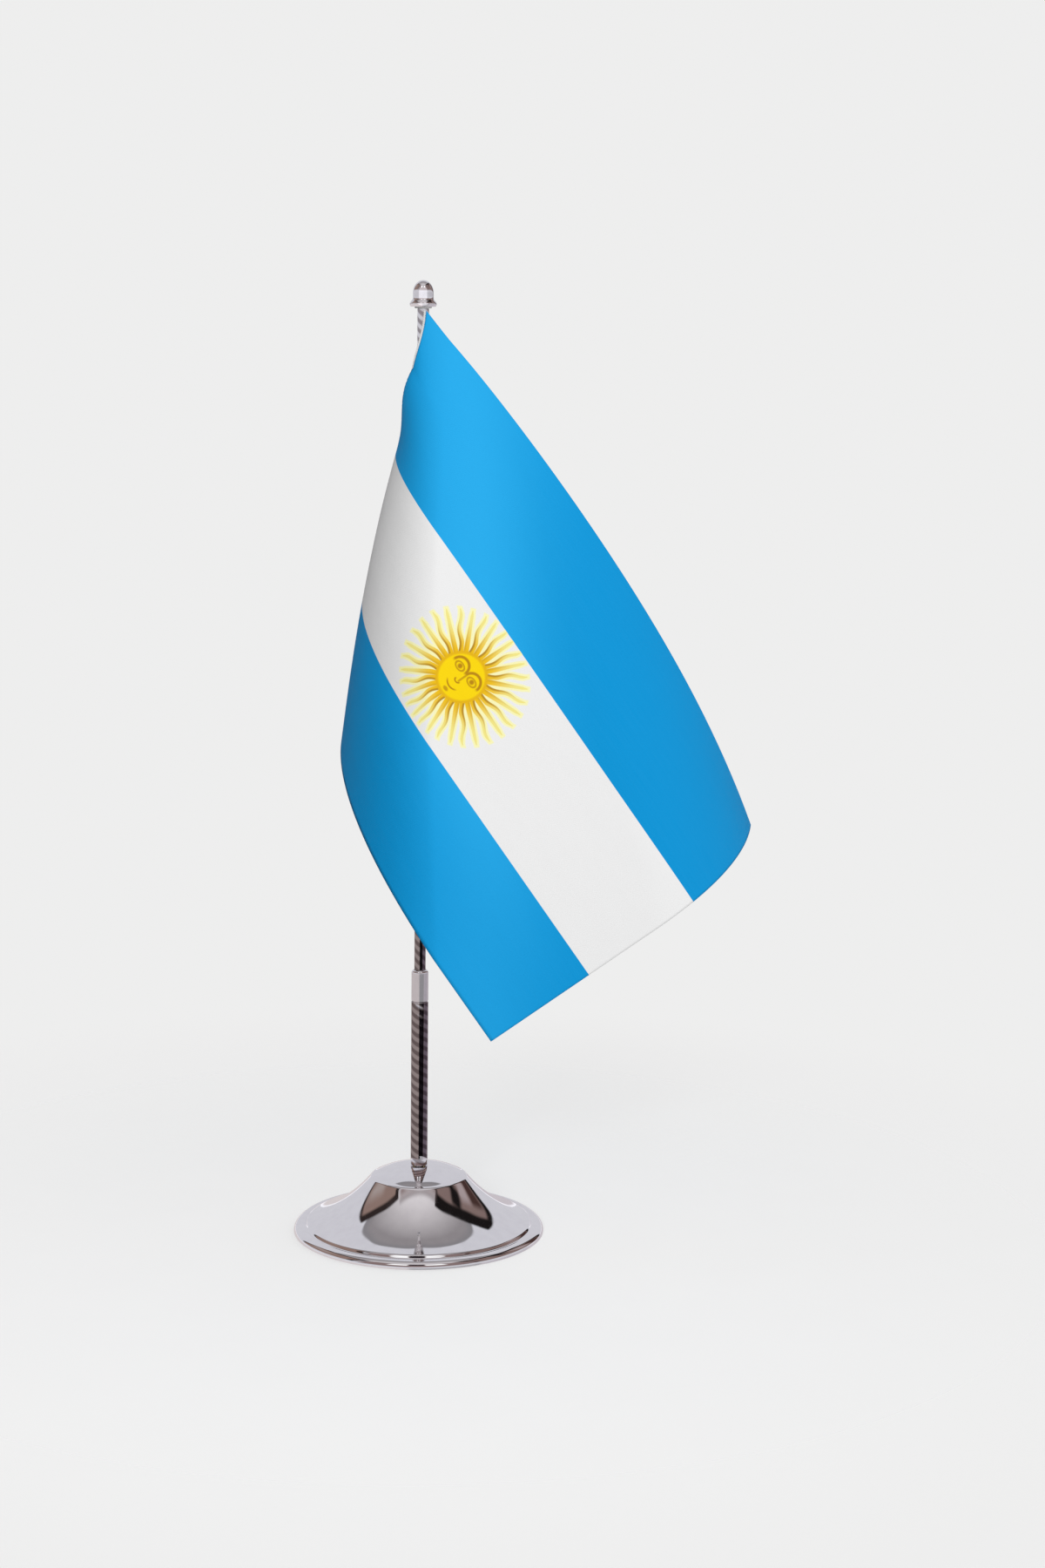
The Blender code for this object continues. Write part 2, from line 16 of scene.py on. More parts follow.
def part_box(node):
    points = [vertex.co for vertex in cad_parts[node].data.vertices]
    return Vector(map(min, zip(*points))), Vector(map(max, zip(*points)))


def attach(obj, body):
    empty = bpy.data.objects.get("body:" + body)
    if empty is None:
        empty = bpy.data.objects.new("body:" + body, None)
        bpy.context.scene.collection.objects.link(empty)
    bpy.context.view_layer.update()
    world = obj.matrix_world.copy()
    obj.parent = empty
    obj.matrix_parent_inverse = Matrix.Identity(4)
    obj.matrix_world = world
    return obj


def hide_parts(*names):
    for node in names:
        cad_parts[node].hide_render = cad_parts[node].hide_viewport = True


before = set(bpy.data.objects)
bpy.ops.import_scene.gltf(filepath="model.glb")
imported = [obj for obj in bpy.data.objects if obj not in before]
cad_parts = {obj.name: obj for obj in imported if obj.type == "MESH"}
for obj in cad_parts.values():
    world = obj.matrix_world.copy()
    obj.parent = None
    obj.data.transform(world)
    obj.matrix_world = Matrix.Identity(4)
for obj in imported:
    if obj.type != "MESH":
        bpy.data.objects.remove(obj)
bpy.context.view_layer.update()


def rounded(point):
    return tuple(round(v, 4) for v in point)


# %% [markdown]
# ## Small helpers
#
# Three helpers serve every piece: one turns a bmesh into a named object, one spins an
# outline about the pole as a lathe would, and one draws a Bezier curve in the outline's
# plane. Blender's Screw modifier could spin the outlines as well, but a bmesh spin
# leaves a plain mesh whose place is in its vertices, which is what the frame asks for.

# %% From bmesh to object
def finished(name, bm, finish, smooth_angle=radians(35)):
    """Makes the bmesh an object with its material, smooth except at its creases."""
    mesh = bpy.data.meshes.new(name)
    bm.to_mesh(mesh)
    bm.free()
    mesh.materials.append(finish)
    mesh.shade_smooth()
    mesh.set_sharp_from_angle(angle=smooth_angle)
    piece = bpy.data.objects.new(name, mesh)
    bpy.context.scene.collection.objects.link(piece)
    print(name, len(mesh.polygons), "faces")
    return piece


# %% The lathe
MERGE = 1e-7


def lathe(outline, steps):
    """Spins an outline of (radius, height) points. It runs from axis to axis, or is a closed ring."""
    bm = bmesh.new()
    points = [bm.verts.new((r, 0, z)) for r, z in outline]
    edges = [bm.edges.new(pair) for pair in zip(points, points[1:])]
    if outline[0][0] > 0:
        edges.append(bm.edges.new((points[-1], points[0])))
    bmesh.ops.spin(
        bm, geom=points + edges, axis=(0, 0, 1), cent=(0, 0, 0), angle=2 * pi, steps=steps, use_merge=True
    )
    bmesh.ops.remove_doubles(bm, verts=bm.verts[:], dist=MERGE)
    bmesh.ops.recalc_face_normals(bm, faces=bm.faces[:])
    return bm


# %% Curves for the outlines
def bezier(a, b, c, d, steps):
    points = []
    for i in range(steps + 1):
        t = i / steps
        weights = ((1 - t) ** 3, 3 * (1 - t) ** 2 * t, 3 * (1 - t) * t * t, t**3)
        points.append(tuple(sum(w * p[k] for w, p in zip(weights, (a, b, c, d))) for k in (0, 1)))
    return points


def arc(centre, radii, start, stop, steps):
    turns = [start + (stop - start) * i / steps for i in range(steps + 1)]
    return [(centre[0] + radii[0] * cos(t), centre[1] + radii[1] * sin(t)) for t in turns]


# %% [markdown]
# ## Wiring nodes from code
#
# Node trees are built by a few short functions: each adds one node, links or sets its
# inputs and returns its output. A formula then reads almost as it would on paper.

# %% One node at a time
class Tree:
    """Adds nodes to a tree. An input may be a number, a tuple or another node's output."""

    def __init__(self, tree):
        self.tree = tree

    def node(self, kind, **settings):
        made = self.tree.nodes.new(kind)
        for key, value in settings.items():
            setattr(made, key, value)
        return made

    def feed(self, socket, value):
        if isinstance(value, bpy.types.NodeSocket):
            self.tree.links.new(value, socket)
        elif value is not None:
            socket.default_value = value

    def math(self, operation, a, b=None, c=None, clamp=False):
        made = self.node("ShaderNodeMath", operation=operation, use_clamp=clamp)
        for socket, value in zip(made.inputs, (a, b, c)):
            self.feed(socket, value)
        return made.outputs[0]

    def add(self, a, b):
        return self.math("ADD", a, b)

    def less(self, a, b):
        return self.math("SUBTRACT", a, b)

    def times(self, a, b):
        return self.math("MULTIPLY", a, b)

    def over(self, a, b):
        return self.math("DIVIDE", a, b)

    def ramp(self, value, low, high, to_low=0.0, to_high=1.0):
        """A smooth step of value from low to high."""
        made = self.node("ShaderNodeMapRange", interpolation_type="SMOOTHSTEP")
        for socket, number in zip(made.inputs[:5], (value, low, high, to_low, to_high)):
            self.feed(socket, number)
        return made.outputs[0]

    def within(self, value, low, high, soft):
        """1 between low and high, falling smoothly to 0 outside them."""
        above = self.ramp(value, low - soft, low + soft)
        return self.times(above, self.ramp(value, high - soft, high + soft, 1.0, 0.0))

    def mix(self, share, a, b, blend="MIX"):
        made = self.node("ShaderNodeMix", data_type="RGBA", blend_type=blend)
        self.feed(made.inputs[0], share)
        self.feed(made.inputs[6], a)
        self.feed(made.inputs[7], b)
        return made.outputs[2]

    def noise(self, place, scale, detail=2.0, roughness=0.5):
        made = self.node("ShaderNodeTexNoise")
        self.feed(made.inputs["Vector"], place)
        made.inputs["Scale"].default_value = scale
        made.inputs["Detail"].default_value = detail
        made.inputs["Roughness"].default_value = roughness
        return made.outputs["Fac"]

    def split(self, vector):
        made = self.node("ShaderNodeSeparateXYZ")
        self.feed(made.inputs[0], vector)
        return made.outputs

    def join(self, x, y, z=0.0):
        made = self.node("ShaderNodeCombineXYZ")
        for socket, value in zip(made.inputs, (x, y, z)):
            self.feed(socket, value)
        return made.outputs[0]

    def bump(self, height, distance, strength=1.0, before=None):
        made = self.node("ShaderNodeBump")
        made.inputs["Strength"].default_value = strength
        made.inputs["Distance"].default_value = distance
        self.feed(made.inputs["Height"], height)
        if before is not None:
            self.feed(made.inputs["Normal"], before)
        return made.outputs[0]


# %% A material and its tree
def grey(value):
    return (value, value, value, 1.0)


def new_material(name):
    """A material with one Principled shader, and the tree to wire it with."""
    made = bpy.data.materials.new(name)
    made.use_nodes = True
    tree = Tree(made.node_tree)
    shader = made.node_tree.nodes["Principled BSDF"]
    place = tree.node("ShaderNodeTexCoord").outputs
    return made, tree, shader.inputs, place


# %% [markdown]
# ## The shared wear group
#
# Polished or cast, no metal is even: fine cloudiness from wiping changes how sharply it
# mirrors. One node group makes that cloud, and each metal places it with its own scale
# and its own range of roughness.

# %% Node group: cloudy roughness
def make_haze_group():
    group = bpy.data.node_groups.new("Metal haze", "ShaderNodeTree")
    group.interface.new_socket("Vector", in_out="INPUT", socket_type="NodeSocketVector")
    for name, value in (("Scale", 300.0), ("Smoothest", 0.02), ("Roughest", 0.06)):
        socket = group.interface.new_socket(name, in_out="INPUT", socket_type="NodeSocketFloat")
        socket.default_value = value
    group.interface.new_socket("Roughness", in_out="OUTPUT", socket_type="NodeSocketFloat")
    group.interface.new_socket("Cloud", in_out="OUTPUT", socket_type="NodeSocketFloat")
    tree = Tree(group)
    given = tree.node("NodeGroupInput").outputs
    given_out = tree.node("NodeGroupOutput").inputs
    cloud = tree.node("ShaderNodeTexNoise")
    tree.feed(cloud.inputs["Vector"], given["Vector"])
    tree.feed(cloud.inputs["Scale"], given["Scale"])
    cloud.inputs["Detail"].default_value = 4.0
    rough = tree.ramp(cloud.outputs["Fac"], 0.35, 0.7, given["Smoothest"], given["Roughest"])
    tree.feed(given_out["Roughness"], rough)
    tree.feed(given_out["Cloud"], cloud.outputs["Fac"])
    return group


haze_group = make_haze_group()
print(haze_group.name, "has", len(haze_group.nodes), "nodes")


def haze(tree, vector, scale, smoothest, roughest):
    made = tree.node("ShaderNodeGroup", node_tree=haze_group)
    tree.feed(made.inputs["Vector"], vector)
    for name, value in (("Scale", scale), ("Smoothest", smoothest), ("Roughest", roughest)):
        made.inputs[name].default_value = value
    return made.outputs["Roughness"], made.outputs["Cloud"]


# %% [markdown]
# ## Chrome
#
# The base, the pole and the finial are bright chrome over steel. The base was pressed
# and buffed, so its mirror is clean but swims a little. The tubes were drawn and
# polished on a wheel that ran along them, which leaves a faint ripple of three spirals:
# its bump breaks the reflections into slanting dashes, and painted shade darkens the
# valleys in the colour. The ferrule and the finial were tumbled in a barrel, so they are
# a little softer. All are the same metal with another bump or roughness, so one function makes them.

# %% Chrome, with or without the spiral ripple
CHROME = (0.94, 0.935, 0.955, 1.0)
CLOUDY_CHROME = (0.90, 0.89, 0.915, 1.0)
# Colour of the painted shade in the tube ripple's valleys.
PAINTED_VALLEY_SHADE = (0.30, 0.26, 0.27, 1.0)
RIPPLE_PITCH = 0.0033
RIPPLE_STARTS = 3.0


def chrome(name, ripple=0.0, swim=0.0, smoothest=0.03, roughest=0.075):
    made, tree, shader, place = new_material(name)
    rough, cloud = haze(tree, place["Object"], 260.0, smoothest, roughest)
    colour = tree.mix(tree.ramp(cloud, 0.3, 0.75), CHROME, CLOUDY_CHROME)
    if ripple:
        x, y, z = tree.split(place["Object"])
        along = tree.times(z, 2 * pi / RIPPLE_PITCH)
        turned = tree.times(tree.math("ARCTAN2", y, x), RIPPLE_STARTS)
        wave = tree.math("SINE", tree.add(along, turned))
        # Painted shade: the ripple's valleys are darkened in the base colour, as dark dashes in the
        # reflection.
        colour = tree.mix(tree.ramp(wave, -0.7, 0.7, 0.0, 0.8), colour, PAINTED_VALLEY_SHADE)
    tree.feed(shader["Base Color"], colour)
    shader["Metallic"].default_value = 1.0
    tree.feed(shader["Roughness"], rough)
    normal = None
    if swim:
        normal = tree.bump(tree.noise(place["Object"], 70.0, 1.0), swim)
    if ripple:
        normal = tree.bump(wave, ripple, before=normal)
    if normal is not None:
        tree.feed(shader["Normal"], normal)
    return made


base_chrome = chrome("Base chrome", swim=0.00012)
tube_chrome = chrome("Drawn tube chrome", ripple=0.000010)
plain_chrome = chrome("Small part chrome", smoothest=0.13, roughest=0.20)
print("chrome finishes:", base_chrome.name, tube_chrome.name, plain_chrome.name)


# %% [markdown]
# ## Metals and plastics out of sight
#
# The ballast, the screw and the slide's parts are only seen with the stand taken
# apart. Each has the finish that its making leaves: sand-cast iron is grainy, turned
# brass has fine rings, zinc-plated steel is cloudy and grey, and nylon is milky.

# %% Sand-cast iron
def cast_iron():
    made, tree, shader, place = new_material("Cast iron")
    grain = tree.noise(place["Object"], 1400.0, 5.0, 0.65)
    rough, cloud = haze(tree, place["Object"], 220.0, 0.55, 0.8)
    tree.feed(shader["Base Color"], tree.mix(cloud, (0.035, 0.035, 0.038, 1), (0.085, 0.08, 0.078, 1)))
    shader["Metallic"].default_value = 0.7
    tree.feed(shader["Roughness"], rough)
    tree.feed(shader["Normal"], tree.bump(grain, 0.00025))
    return made


# %% Turned metal with fine rings
RING_PITCH = 0.00012


def turned_metal(name, dark, light, smoothest, roughest):
    made, tree, shader, place = new_material(name)
    x, y, z = tree.split(place["Object"])
    radius = tree.math("SQRT", tree.add(tree.times(x, x), tree.times(y, y)))
    rings = tree.math("SINE", tree.times(tree.add(radius, z), 2 * pi / RING_PITCH))
    rough, cloud = haze(tree, place["Object"], 500.0, smoothest, roughest)
    tree.feed(shader["Base Color"], tree.mix(cloud, dark, light))
    shader["Metallic"].default_value = 1.0
    tree.feed(shader["Roughness"], rough)
    tree.feed(shader["Normal"], tree.bump(rings, 0.000006))
    return made


# %% Nylon and felt
def natural_nylon():
    made, tree, shader, place = new_material("Natural nylon")
    milk = tree.noise(place["Object"], 600.0)
    tree.feed(shader["Base Color"], tree.mix(milk, (0.74, 0.71, 0.62, 1), (0.84, 0.82, 0.76, 1)))
    tree.feed(shader["Roughness"], tree.ramp(tree.noise(place["Object"], 900.0), 0.3, 0.7, 0.38, 0.52))
    shader["Subsurface Weight"].default_value = 0.1
    shader["Subsurface Radius"].default_value = (0.001, 0.001, 0.001)
    return made


def black_felt():
    made, tree, shader, place = new_material("Black felt")
    fibres = tree.noise(place["Object"], 3500.0, 6.0, 0.7)
    tree.feed(shader["Base Color"], tree.mix(fibres, (0.008, 0.008, 0.009, 1), (0.05, 0.05, 0.055, 1)))
    shader["Roughness"].default_value = 0.95
    shader["Sheen Weight"].default_value = 0.4
    tree.feed(shader["Normal"], tree.bump(fibres, 0.0003))
    return made


iron = cast_iron()
steel = turned_metal("Zinc-plated steel", (0.42, 0.43, 0.46, 1), (0.66, 0.67, 0.70, 1), 0.24, 0.42)
brass = turned_metal("Turned brass", (0.62, 0.44, 0.16, 1), (0.80, 0.62, 0.30, 1), 0.18, 0.34)
bronze = turned_metal("Phosphor bronze", (0.55, 0.30, 0.15, 1), (0.74, 0.47, 0.28, 1), 0.22, 0.38)
nylon = natural_nylon()
felt = black_felt()

# %% Give the hidden parts their finishes
hidden_finish = {
    "ballast_casting": iron, "base_screw": steel, "screw_washer": steel, "spring_washer": steel,
    "tube_plug": brass, "rod_foot": brass, "stop_washer": brass, "rod_tip": brass,
    "friction_sleeve": bronze, "guide_bush": nylon,
}
for node, finish in hidden_finish.items():
    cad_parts[node].data.materials.clear()
    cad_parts[node].data.materials.append(finish)
print(len(hidden_finish), "hidden parts finished")


# %% [markdown]
# ## The base
#
# The base is a disc of sheet steel pressed into a bell: a shallow crown, a rounded
# shoulder, a flare like a skirt and a rolled lip. A subdivided cylinder could be pulled
# into that shape, but a drawn outline on a lathe gives exact curvature, and a mirror
# shows every fault in curvature. The outline follows the frame's base with many more
# steps, and its wall is the same outline set in by the sheet's thickness.

# %% Sizes of the bell
base_low, base_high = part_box("base_shell")
BASE_RADIUS = base_high.x
CROWN_TOP = base_high.z
RIM_LIFT = base_low.z
SEAT_RADIUS = 0.0042
SHOULDER = (0.0174, 0.0203)
SHOULDER_ROUND = 0.0019
SHOULDER_LEAN = radians(39.4)
CROWN_LEAN = radians(76)
FLARE_FOOT = (BASE_RADIUS - 0.0049, 0.0040)
FOOT_LEAN = radians(16.6)
FLARE_PULLS = (0.0092, 0.0095)
LIP_WIDTH, LIP_HEIGHT = 0.0028, 0.0025
LIP_CENTRE = (BASE_RADIUS - LIP_WIDTH, 0.0006)
CROWN_STEPS = 14
print("bell", rounded((2 * BASE_RADIUS,))[0], "m across, crown at", round(CROWN_TOP, 4))


# %% The bell's outline
def bell_outline():
    """From the crown's seat out and down to the rim."""
    lean_across, lean_up = cos(SHOULDER_LEAN), sin(SHOULDER_LEAN)
    middle = (SHOULDER[0] - SHOULDER_ROUND * lean_across, SHOULDER[1] - SHOULDER_ROUND * lean_up)
    shoulder = arc(middle, (SHOULDER_ROUND, SHOULDER_ROUND), CROWN_LEAN, SHOULDER_LEAN, 12)
    crown_width = shoulder[0][0] - SEAT_RADIUS
    crown_drop = CROWN_TOP - shoulder[0][1]
    shares = [i / CROWN_STEPS for i in range(CROWN_STEPS)]
    crown = [(SEAT_RADIUS + crown_width * t, CROWN_TOP - crown_drop * t**2) for t in shares]
    high_pull, low_pull = FLARE_PULLS
    flare = bezier(
        SHOULDER,
        (SHOULDER[0] + high_pull * lean_up, SHOULDER[1] - high_pull * lean_across),
        (FLARE_FOOT[0] - low_pull * cos(FOOT_LEAN), FLARE_FOOT[1] + low_pull * sin(FOOT_LEAN)),
        FLARE_FOOT, 40,
    )
    lip = arc(LIP_CENTRE, (LIP_WIDTH, LIP_HEIGHT), radians(112), 0, 22)
    valley = bezier(
        FLARE_FOOT, (FLARE_FOOT[0] + 0.0004, FLARE_FOOT[1] - 0.0002),
        (lip[0][0] - 0.0005, lip[0][1] - 0.0001), lip[0], 6,
    )
    return crown + shoulder + flare[1:] + valley[1:] + lip[1:] + [(BASE_RADIUS, RIM_LIFT)]


# %% The wall's inner side
def set_in(points, depth):
    """The same outline, moved into the metal by its thickness."""
    moved = []
    for i, (r, z) in enumerate(points):
        before, after = points[max(i - 1, 0)], points[min(i + 1, len(points) - 1)]
        run = (after[0] - before[0], after[1] - before[1])
        length = hypot(*run)
        moved.append((r + depth * run[1] / length, z - depth * run[0] / length))
    return moved


# %% Spin the bell
SHELL_WALL = 0.0008
SCREW_HOLE = 0.0017
outer = bell_outline()
inner = set_in(outer, SHELL_WALL)
inner[-1] = (BASE_RADIUS - SHELL_WALL, RIM_LIFT)
bell = [(SCREW_HOLE, CROWN_TOP)] + outer + inner[::-1] + [(SCREW_HOLE, CROWN_TOP - SHELL_WALL)]
base_bell = finished("base_bell", lathe(bell, 160), base_chrome, radians(50))
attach(base_bell, "base")
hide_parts("base_shell")
print("outline points", len(bell))

# %% [markdown]
# ## The felt pad
#
# A disc of black felt under the base keeps it from scratching the desk. Its edge is cut
# with a die, so it is square but soft: a lathe outline with small rounds does it.

# %% Spin the pad
pad_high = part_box("base_pad")[1]
PAD_EDGE = 0.0003
pad = [(0, 0), (pad_high.x - PAD_EDGE, 0)]
pad += arc((pad_high.x - PAD_EDGE, PAD_EDGE), (PAD_EDGE, PAD_EDGE), -pi / 2, 0, 4)[1:]
pad += arc((pad_high.x - PAD_EDGE, pad_high.z - PAD_EDGE), (PAD_EDGE, PAD_EDGE), 0, pi / 2, 4)
pad += [(0, pad_high.z)]
felt_pad = finished("felt_pad", lathe(pad, 120), felt)
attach(felt_pad, "base")
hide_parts("base_pad")


# %% [markdown]
# ## The pole
#
# The pole is two drawn tubes. The lower one ends in a ferrule with a rounded shoulder,
# and the upper one slides out of it. Their outlines are short, so each is a list of a
# few corners with arcs where the edges are rounded.

# %% Lower tube
tube_low, tube_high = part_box("lower_tube")
ferrule_low, ferrule_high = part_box("tube_ferrule")
TUBE_RADIUS = tube_high.x
TUBE_WALL = 0.0006
TUBE_BORE = TUBE_RADIUS - TUBE_WALL
NECK = TUBE_BORE + TUBE_WALL / 2
FERRULE_GAP = 0.0003
TUBE_TOP = ferrule_low.z - FERRULE_GAP
EDGE = 0.0002
outline = [(TUBE_BORE, tube_low.z)]
outline += arc((TUBE_RADIUS - EDGE, tube_low.z + EDGE), (EDGE, EDGE), -pi / 2, 0, 4)
outline += arc((TUBE_RADIUS - EDGE, TUBE_TOP - EDGE), (EDGE, EDGE), 0, pi / 2, 4)
outline += [(NECK, TUBE_TOP), (NECK, tube_high.z), (TUBE_BORE, tube_high.z)]
outer_tube = finished("outer_tube", lathe(outline, 72), tube_chrome)
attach(outer_tube, "base")
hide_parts("lower_tube")

# %% Ferrule
FERRULE_BORE = ferrule_high.x - 0.0002
FERRULE_EDGE = 0.0001
FERRULE_ROUND = 0.0010
FERRULE_ROOF = 0.0010
ROD_HOLE = 0.00215
roof = ferrule_high.z - FERRULE_ROOF
outline = [(FERRULE_BORE, ferrule_low.z)]
outline += arc(
    (ferrule_high.x - FERRULE_EDGE, ferrule_low.z + FERRULE_EDGE), (FERRULE_EDGE, FERRULE_EDGE), -pi / 2, 0, 2
)
round_middle = (ferrule_high.x - FERRULE_ROUND, ferrule_high.z - FERRULE_ROUND)
shoulder = arc(round_middle, (FERRULE_ROUND, FERRULE_ROUND), 0, pi / 2, 12)
outline += [p for p in shoulder if p[0] > ROD_HOLE + EDGE / 4]
outline += [(ROD_HOLE, ferrule_high.z), (ROD_HOLE, roof), (FERRULE_BORE, roof)]
ferrule = finished("ferrule", lathe(outline, 72), plain_chrome)
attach(ferrule, "base")
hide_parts("tube_ferrule")

# %% Sliding rod
rod_low, rod_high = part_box("upper_rod")
ROD_WALL = 0.00045
ROD_BORE = rod_high.x - ROD_WALL
ROD_EDGE = 0.0001
outline = [(ROD_BORE, rod_low.z)]
outline += arc((rod_high.x - ROD_EDGE, rod_low.z + ROD_EDGE), (ROD_EDGE, ROD_EDGE), -pi / 2, 0, 3)
outline += arc((rod_high.x - ROD_EDGE, rod_high.z - ROD_EDGE), (ROD_EDGE, ROD_EDGE), 0, pi / 2, 3)
outline += [(ROD_BORE, rod_high.z)]
slide_rod = finished("slide_rod", lathe(outline, 64), tube_chrome)
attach(slide_rod, "rod")
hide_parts("upper_rod")

# %% [markdown]
# ## The finial
#
# The finial is a small bell with a domed cap over a flared skirt. The rod, its insert
# and the flag's tie go up into it, so the outline goes round the outside, in under the
# skirt and up the bore to the stud hole.

# %% Spin the finial
bell_low, bell_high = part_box("finial")
CAP = (0.00355, 0.0042)
CAP_STRAIGHT = 0.0013
SKIRT_ROLL = (0.0005, 0.0012)
ROD_CLEARANCE = 0.0003
ROOF_CLEARANCE = 0.0010
STUD_HOLE, STUD_DEPTH = 0.0011, 0.0032
brim = bell_high.x
dome_foot = bell_high.z - CAP[1]
waist = dome_foot - CAP_STRAIGHT
skirt = bell_low.z + SKIRT_ROLL[1]
bore = rod_high.x + ROD_CLEARANCE
bore_roof = rod_high.z + ROOF_CLEARANCE
stud_top = bore_roof + STUD_DEPTH
outline = [(0, bell_high.z)] + arc((0, dome_foot), CAP, radians(85), 0, 20) + [(CAP[0], waist)]
pulls = (CAP[0], skirt + 0.0010), (brim - 0.0007, skirt + 0.0012)
outline += bezier((CAP[0], waist), *pulls, (brim, skirt), 14)[1:]
outline += arc((brim - SKIRT_ROLL[0], skirt), SKIRT_ROLL, 0, -pi / 2, 10)[1:]
outline += [(brim - 0.0009, bell_low.z), (brim - 0.0012, skirt + 0.0006), (bore, waist), (bore, bore_roof)]
outline += [(STUD_HOLE, bore_roof), (STUD_HOLE, stud_top), (0, stud_top)]
bell_finial = finished("bell_finial", lathe(outline, 96), plain_chrome, radians(50))
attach(bell_finial, "rod")
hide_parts("finial")


# %% [markdown]
# ## How the flag hangs
#
# The flag is tied by its top corner and falls from there with its stripes slanting down
# to the right. The hoist runs down the pole, and the cloth sweeps out to the left, folds
# back to the front and lies almost flat across the pole. Cloth simulation would find a
# drape of its own, and not this one. So each thread of the weave is laid one by one: it
# leaves the hoist, goes round the fold on a smooth curve as long as the thread itself,
# and joins a flat front. The free top corner then rolls back a little.

# %% Sizes of the flag
FLAG_HOIST = 0.1355
FLAG_FLY = 0.2162
HEM_BACK = 0.0007
HOIST_STAND_OFF = 0.0038
HOIST_TURN_LENGTH = 0.045
SWEEP_BACK_LENGTH = 0.040
STRIPE_FALL = radians(54.76)
FORWARD_LEAN = 0.046
CORNER_PULL = 0.0079
PULL_REACH = 0.036
CURL_START = 0.038
CURL_SLANT = radians(19.2)
CURL_TURN = radians(76.4)
HEM_LIFT = 0.0272
JOIN_START, JOIN_REACH, JOIN_POWER = 0.01226, 1.254, 1.164
JOIN_SIDE, SIDE_REACH, SIDE_EASE = 0.00297, 0.6427, 0.0536
THREAD_EASE = 0.155
CORNER_SLACK = 0.0100
SLACK_REACH = 0.070
HEM_LIFT_FROM = 0.55
CORNER_DROP = 0.0014
LEAVE_AT_TOP = Vector((-1.0, -0.5, -0.2))
LEAVE_BELOW = Vector((-0.42, 0.9, -0.10))
DEEPEST_LOOP = 0.30
LOOP_TRIES = 24
CORNER = Vector((0.0007, -(HOIST_STAND_OFF + 0.0012), bell_low.z - 0.0006))
ALONG = Vector((cos(STRIPE_FALL), 0, -sin(STRIPE_FALL)))
DOWN = Vector((-sin(STRIPE_FALL), 0, -cos(STRIPE_FALL)))
print("tied corner at", rounded(CORNER))


# %% The hoist edge and the flat front
def ease(t):
    t = min(max(t, 0.0), 1.0)
    return t * t * (3 - 2 * t)


def hoist_point(w):
    """The hoist edge turns from the rod's front round its left side to its back."""
    turn = radians(-80) - radians(170) * ease(w / HOIST_TURN_LENGTH)
    return Vector((HOIST_STAND_OFF * cos(turn), HOIST_STAND_OFF * sin(turn), CORNER.z - w))


def front_point(s, w):
    """Where the point s along and w down the cloth hangs, in the flat front."""
    share = w / FLAG_HOIST
    lifted = w * (1 - HEM_LIFT * ease((share - HEM_LIFT_FROM) / (1 - HEM_LIFT_FROM)))
    point = Vector((CORNER.x + CORNER_PULL, 0, CORNER.z - CORNER_DROP)) + s * ALONG + lifted * DOWN
    point.y = CORNER.y - FORWARD_LEAN * (CORNER.z - point.z)
    point.x -= CORNER_PULL * exp(-s / PULL_REACH) * (1 - share) ** 2
    return point


# %% The fold
def loop_points(w, back, steps=48):
    """From the hoist back and round the left to where the thread joins the front."""
    share = w / FLAG_HOIST
    start = hoist_point(w)
    join_s = min(JOIN_START + JOIN_REACH * FLAG_HOIST * share**JOIN_POWER, 0.97 * FLAG_FLY)
    join = front_point(join_s, w)
    ahead = (front_point(join_s + 0.001, w) - join).normalized()
    leaving = LEAVE_AT_TOP.lerp(LEAVE_BELOW, ease(w / SWEEP_BACK_LENGTH))
    first = start + back * leaving
    side = JOIN_SIDE + FLAG_HOIST * (SIDE_REACH * share - SIDE_EASE * share**3)
    second = join - side * ahead + Vector((0, 0.12 * back, 0))
    points = []
    for i in range(steps + 1):
        t = i / steps
        u = 1 - t
        points.append(u**3 * start + 3 * u * u * t * first + 3 * u * t * t * second + t**3 * join)
    return points, join_s


def length_of(points):
    return sum((b - a).length for a, b in zip(points, points[1:]))


# %% One thread of the weave
def thread(w):
    """The whole thread at w. The loop is as deep as the thread's length asks."""
    shallow, deep = 0.0, DEEPEST_LOOP
    join_s = loop_points(w, 0)[1]
    slack = CORNER_SLACK * (1 - ease(w / SLACK_REACH))
    wanted = join_s * (1 - THREAD_EASE * w / FLAG_HOIST) - slack
    for _ in range(LOOP_TRIES):
        back = (shallow + deep) / 2
        points = loop_points(w, back)[0]
        if length_of(points) < wanted:
            shallow = back
        else:
            deep = back
    return points, join_s


print("the middle thread's loop is", round(length_of(thread(FLAG_HOIST / 2)[0]), 4), "m long")


# %% Points along a thread
def laid_row(w, places):
    """Where the points at these places along the fly lie: on the loop, then on the flat front."""
    points, join_s = thread(w)
    total = length_of(points)
    found, walked, k = [], 0.0, 0
    for s in places:
        if s >= join_s:
            found.append(front_point(s, w))
            continue
        wanted = total * s / join_s
        while k < len(points) - 2 and walked + (points[k + 1] - points[k]).length < wanted:
            walked += (points[k + 1] - points[k]).length
            k += 1
        step = (points[k + 1] - points[k]).length
        found.append(points[k].lerp(points[k + 1], min((wanted - walked) / step, 1.0)))
    return found


# %% The free corner's roll
def curled(point, s, w):
    """Rolls the free top corner back about a slanting line."""
    past = (s - CURL_START) * sin(CURL_SLANT) - w * cos(CURL_SLANT)
    if past <= 0:
        return point
    bend = CURL_TURN / ((FLAG_FLY - CURL_START) * sin(CURL_SLANT))
    across = sin(CURL_SLANT) * ALONG - cos(CURL_SLANT) * DOWN
    behind = Vector((0, (1 - cos(bend * past)) / bend, 0))
    return point + across * (sin(bend * past) / bend - past) + behind
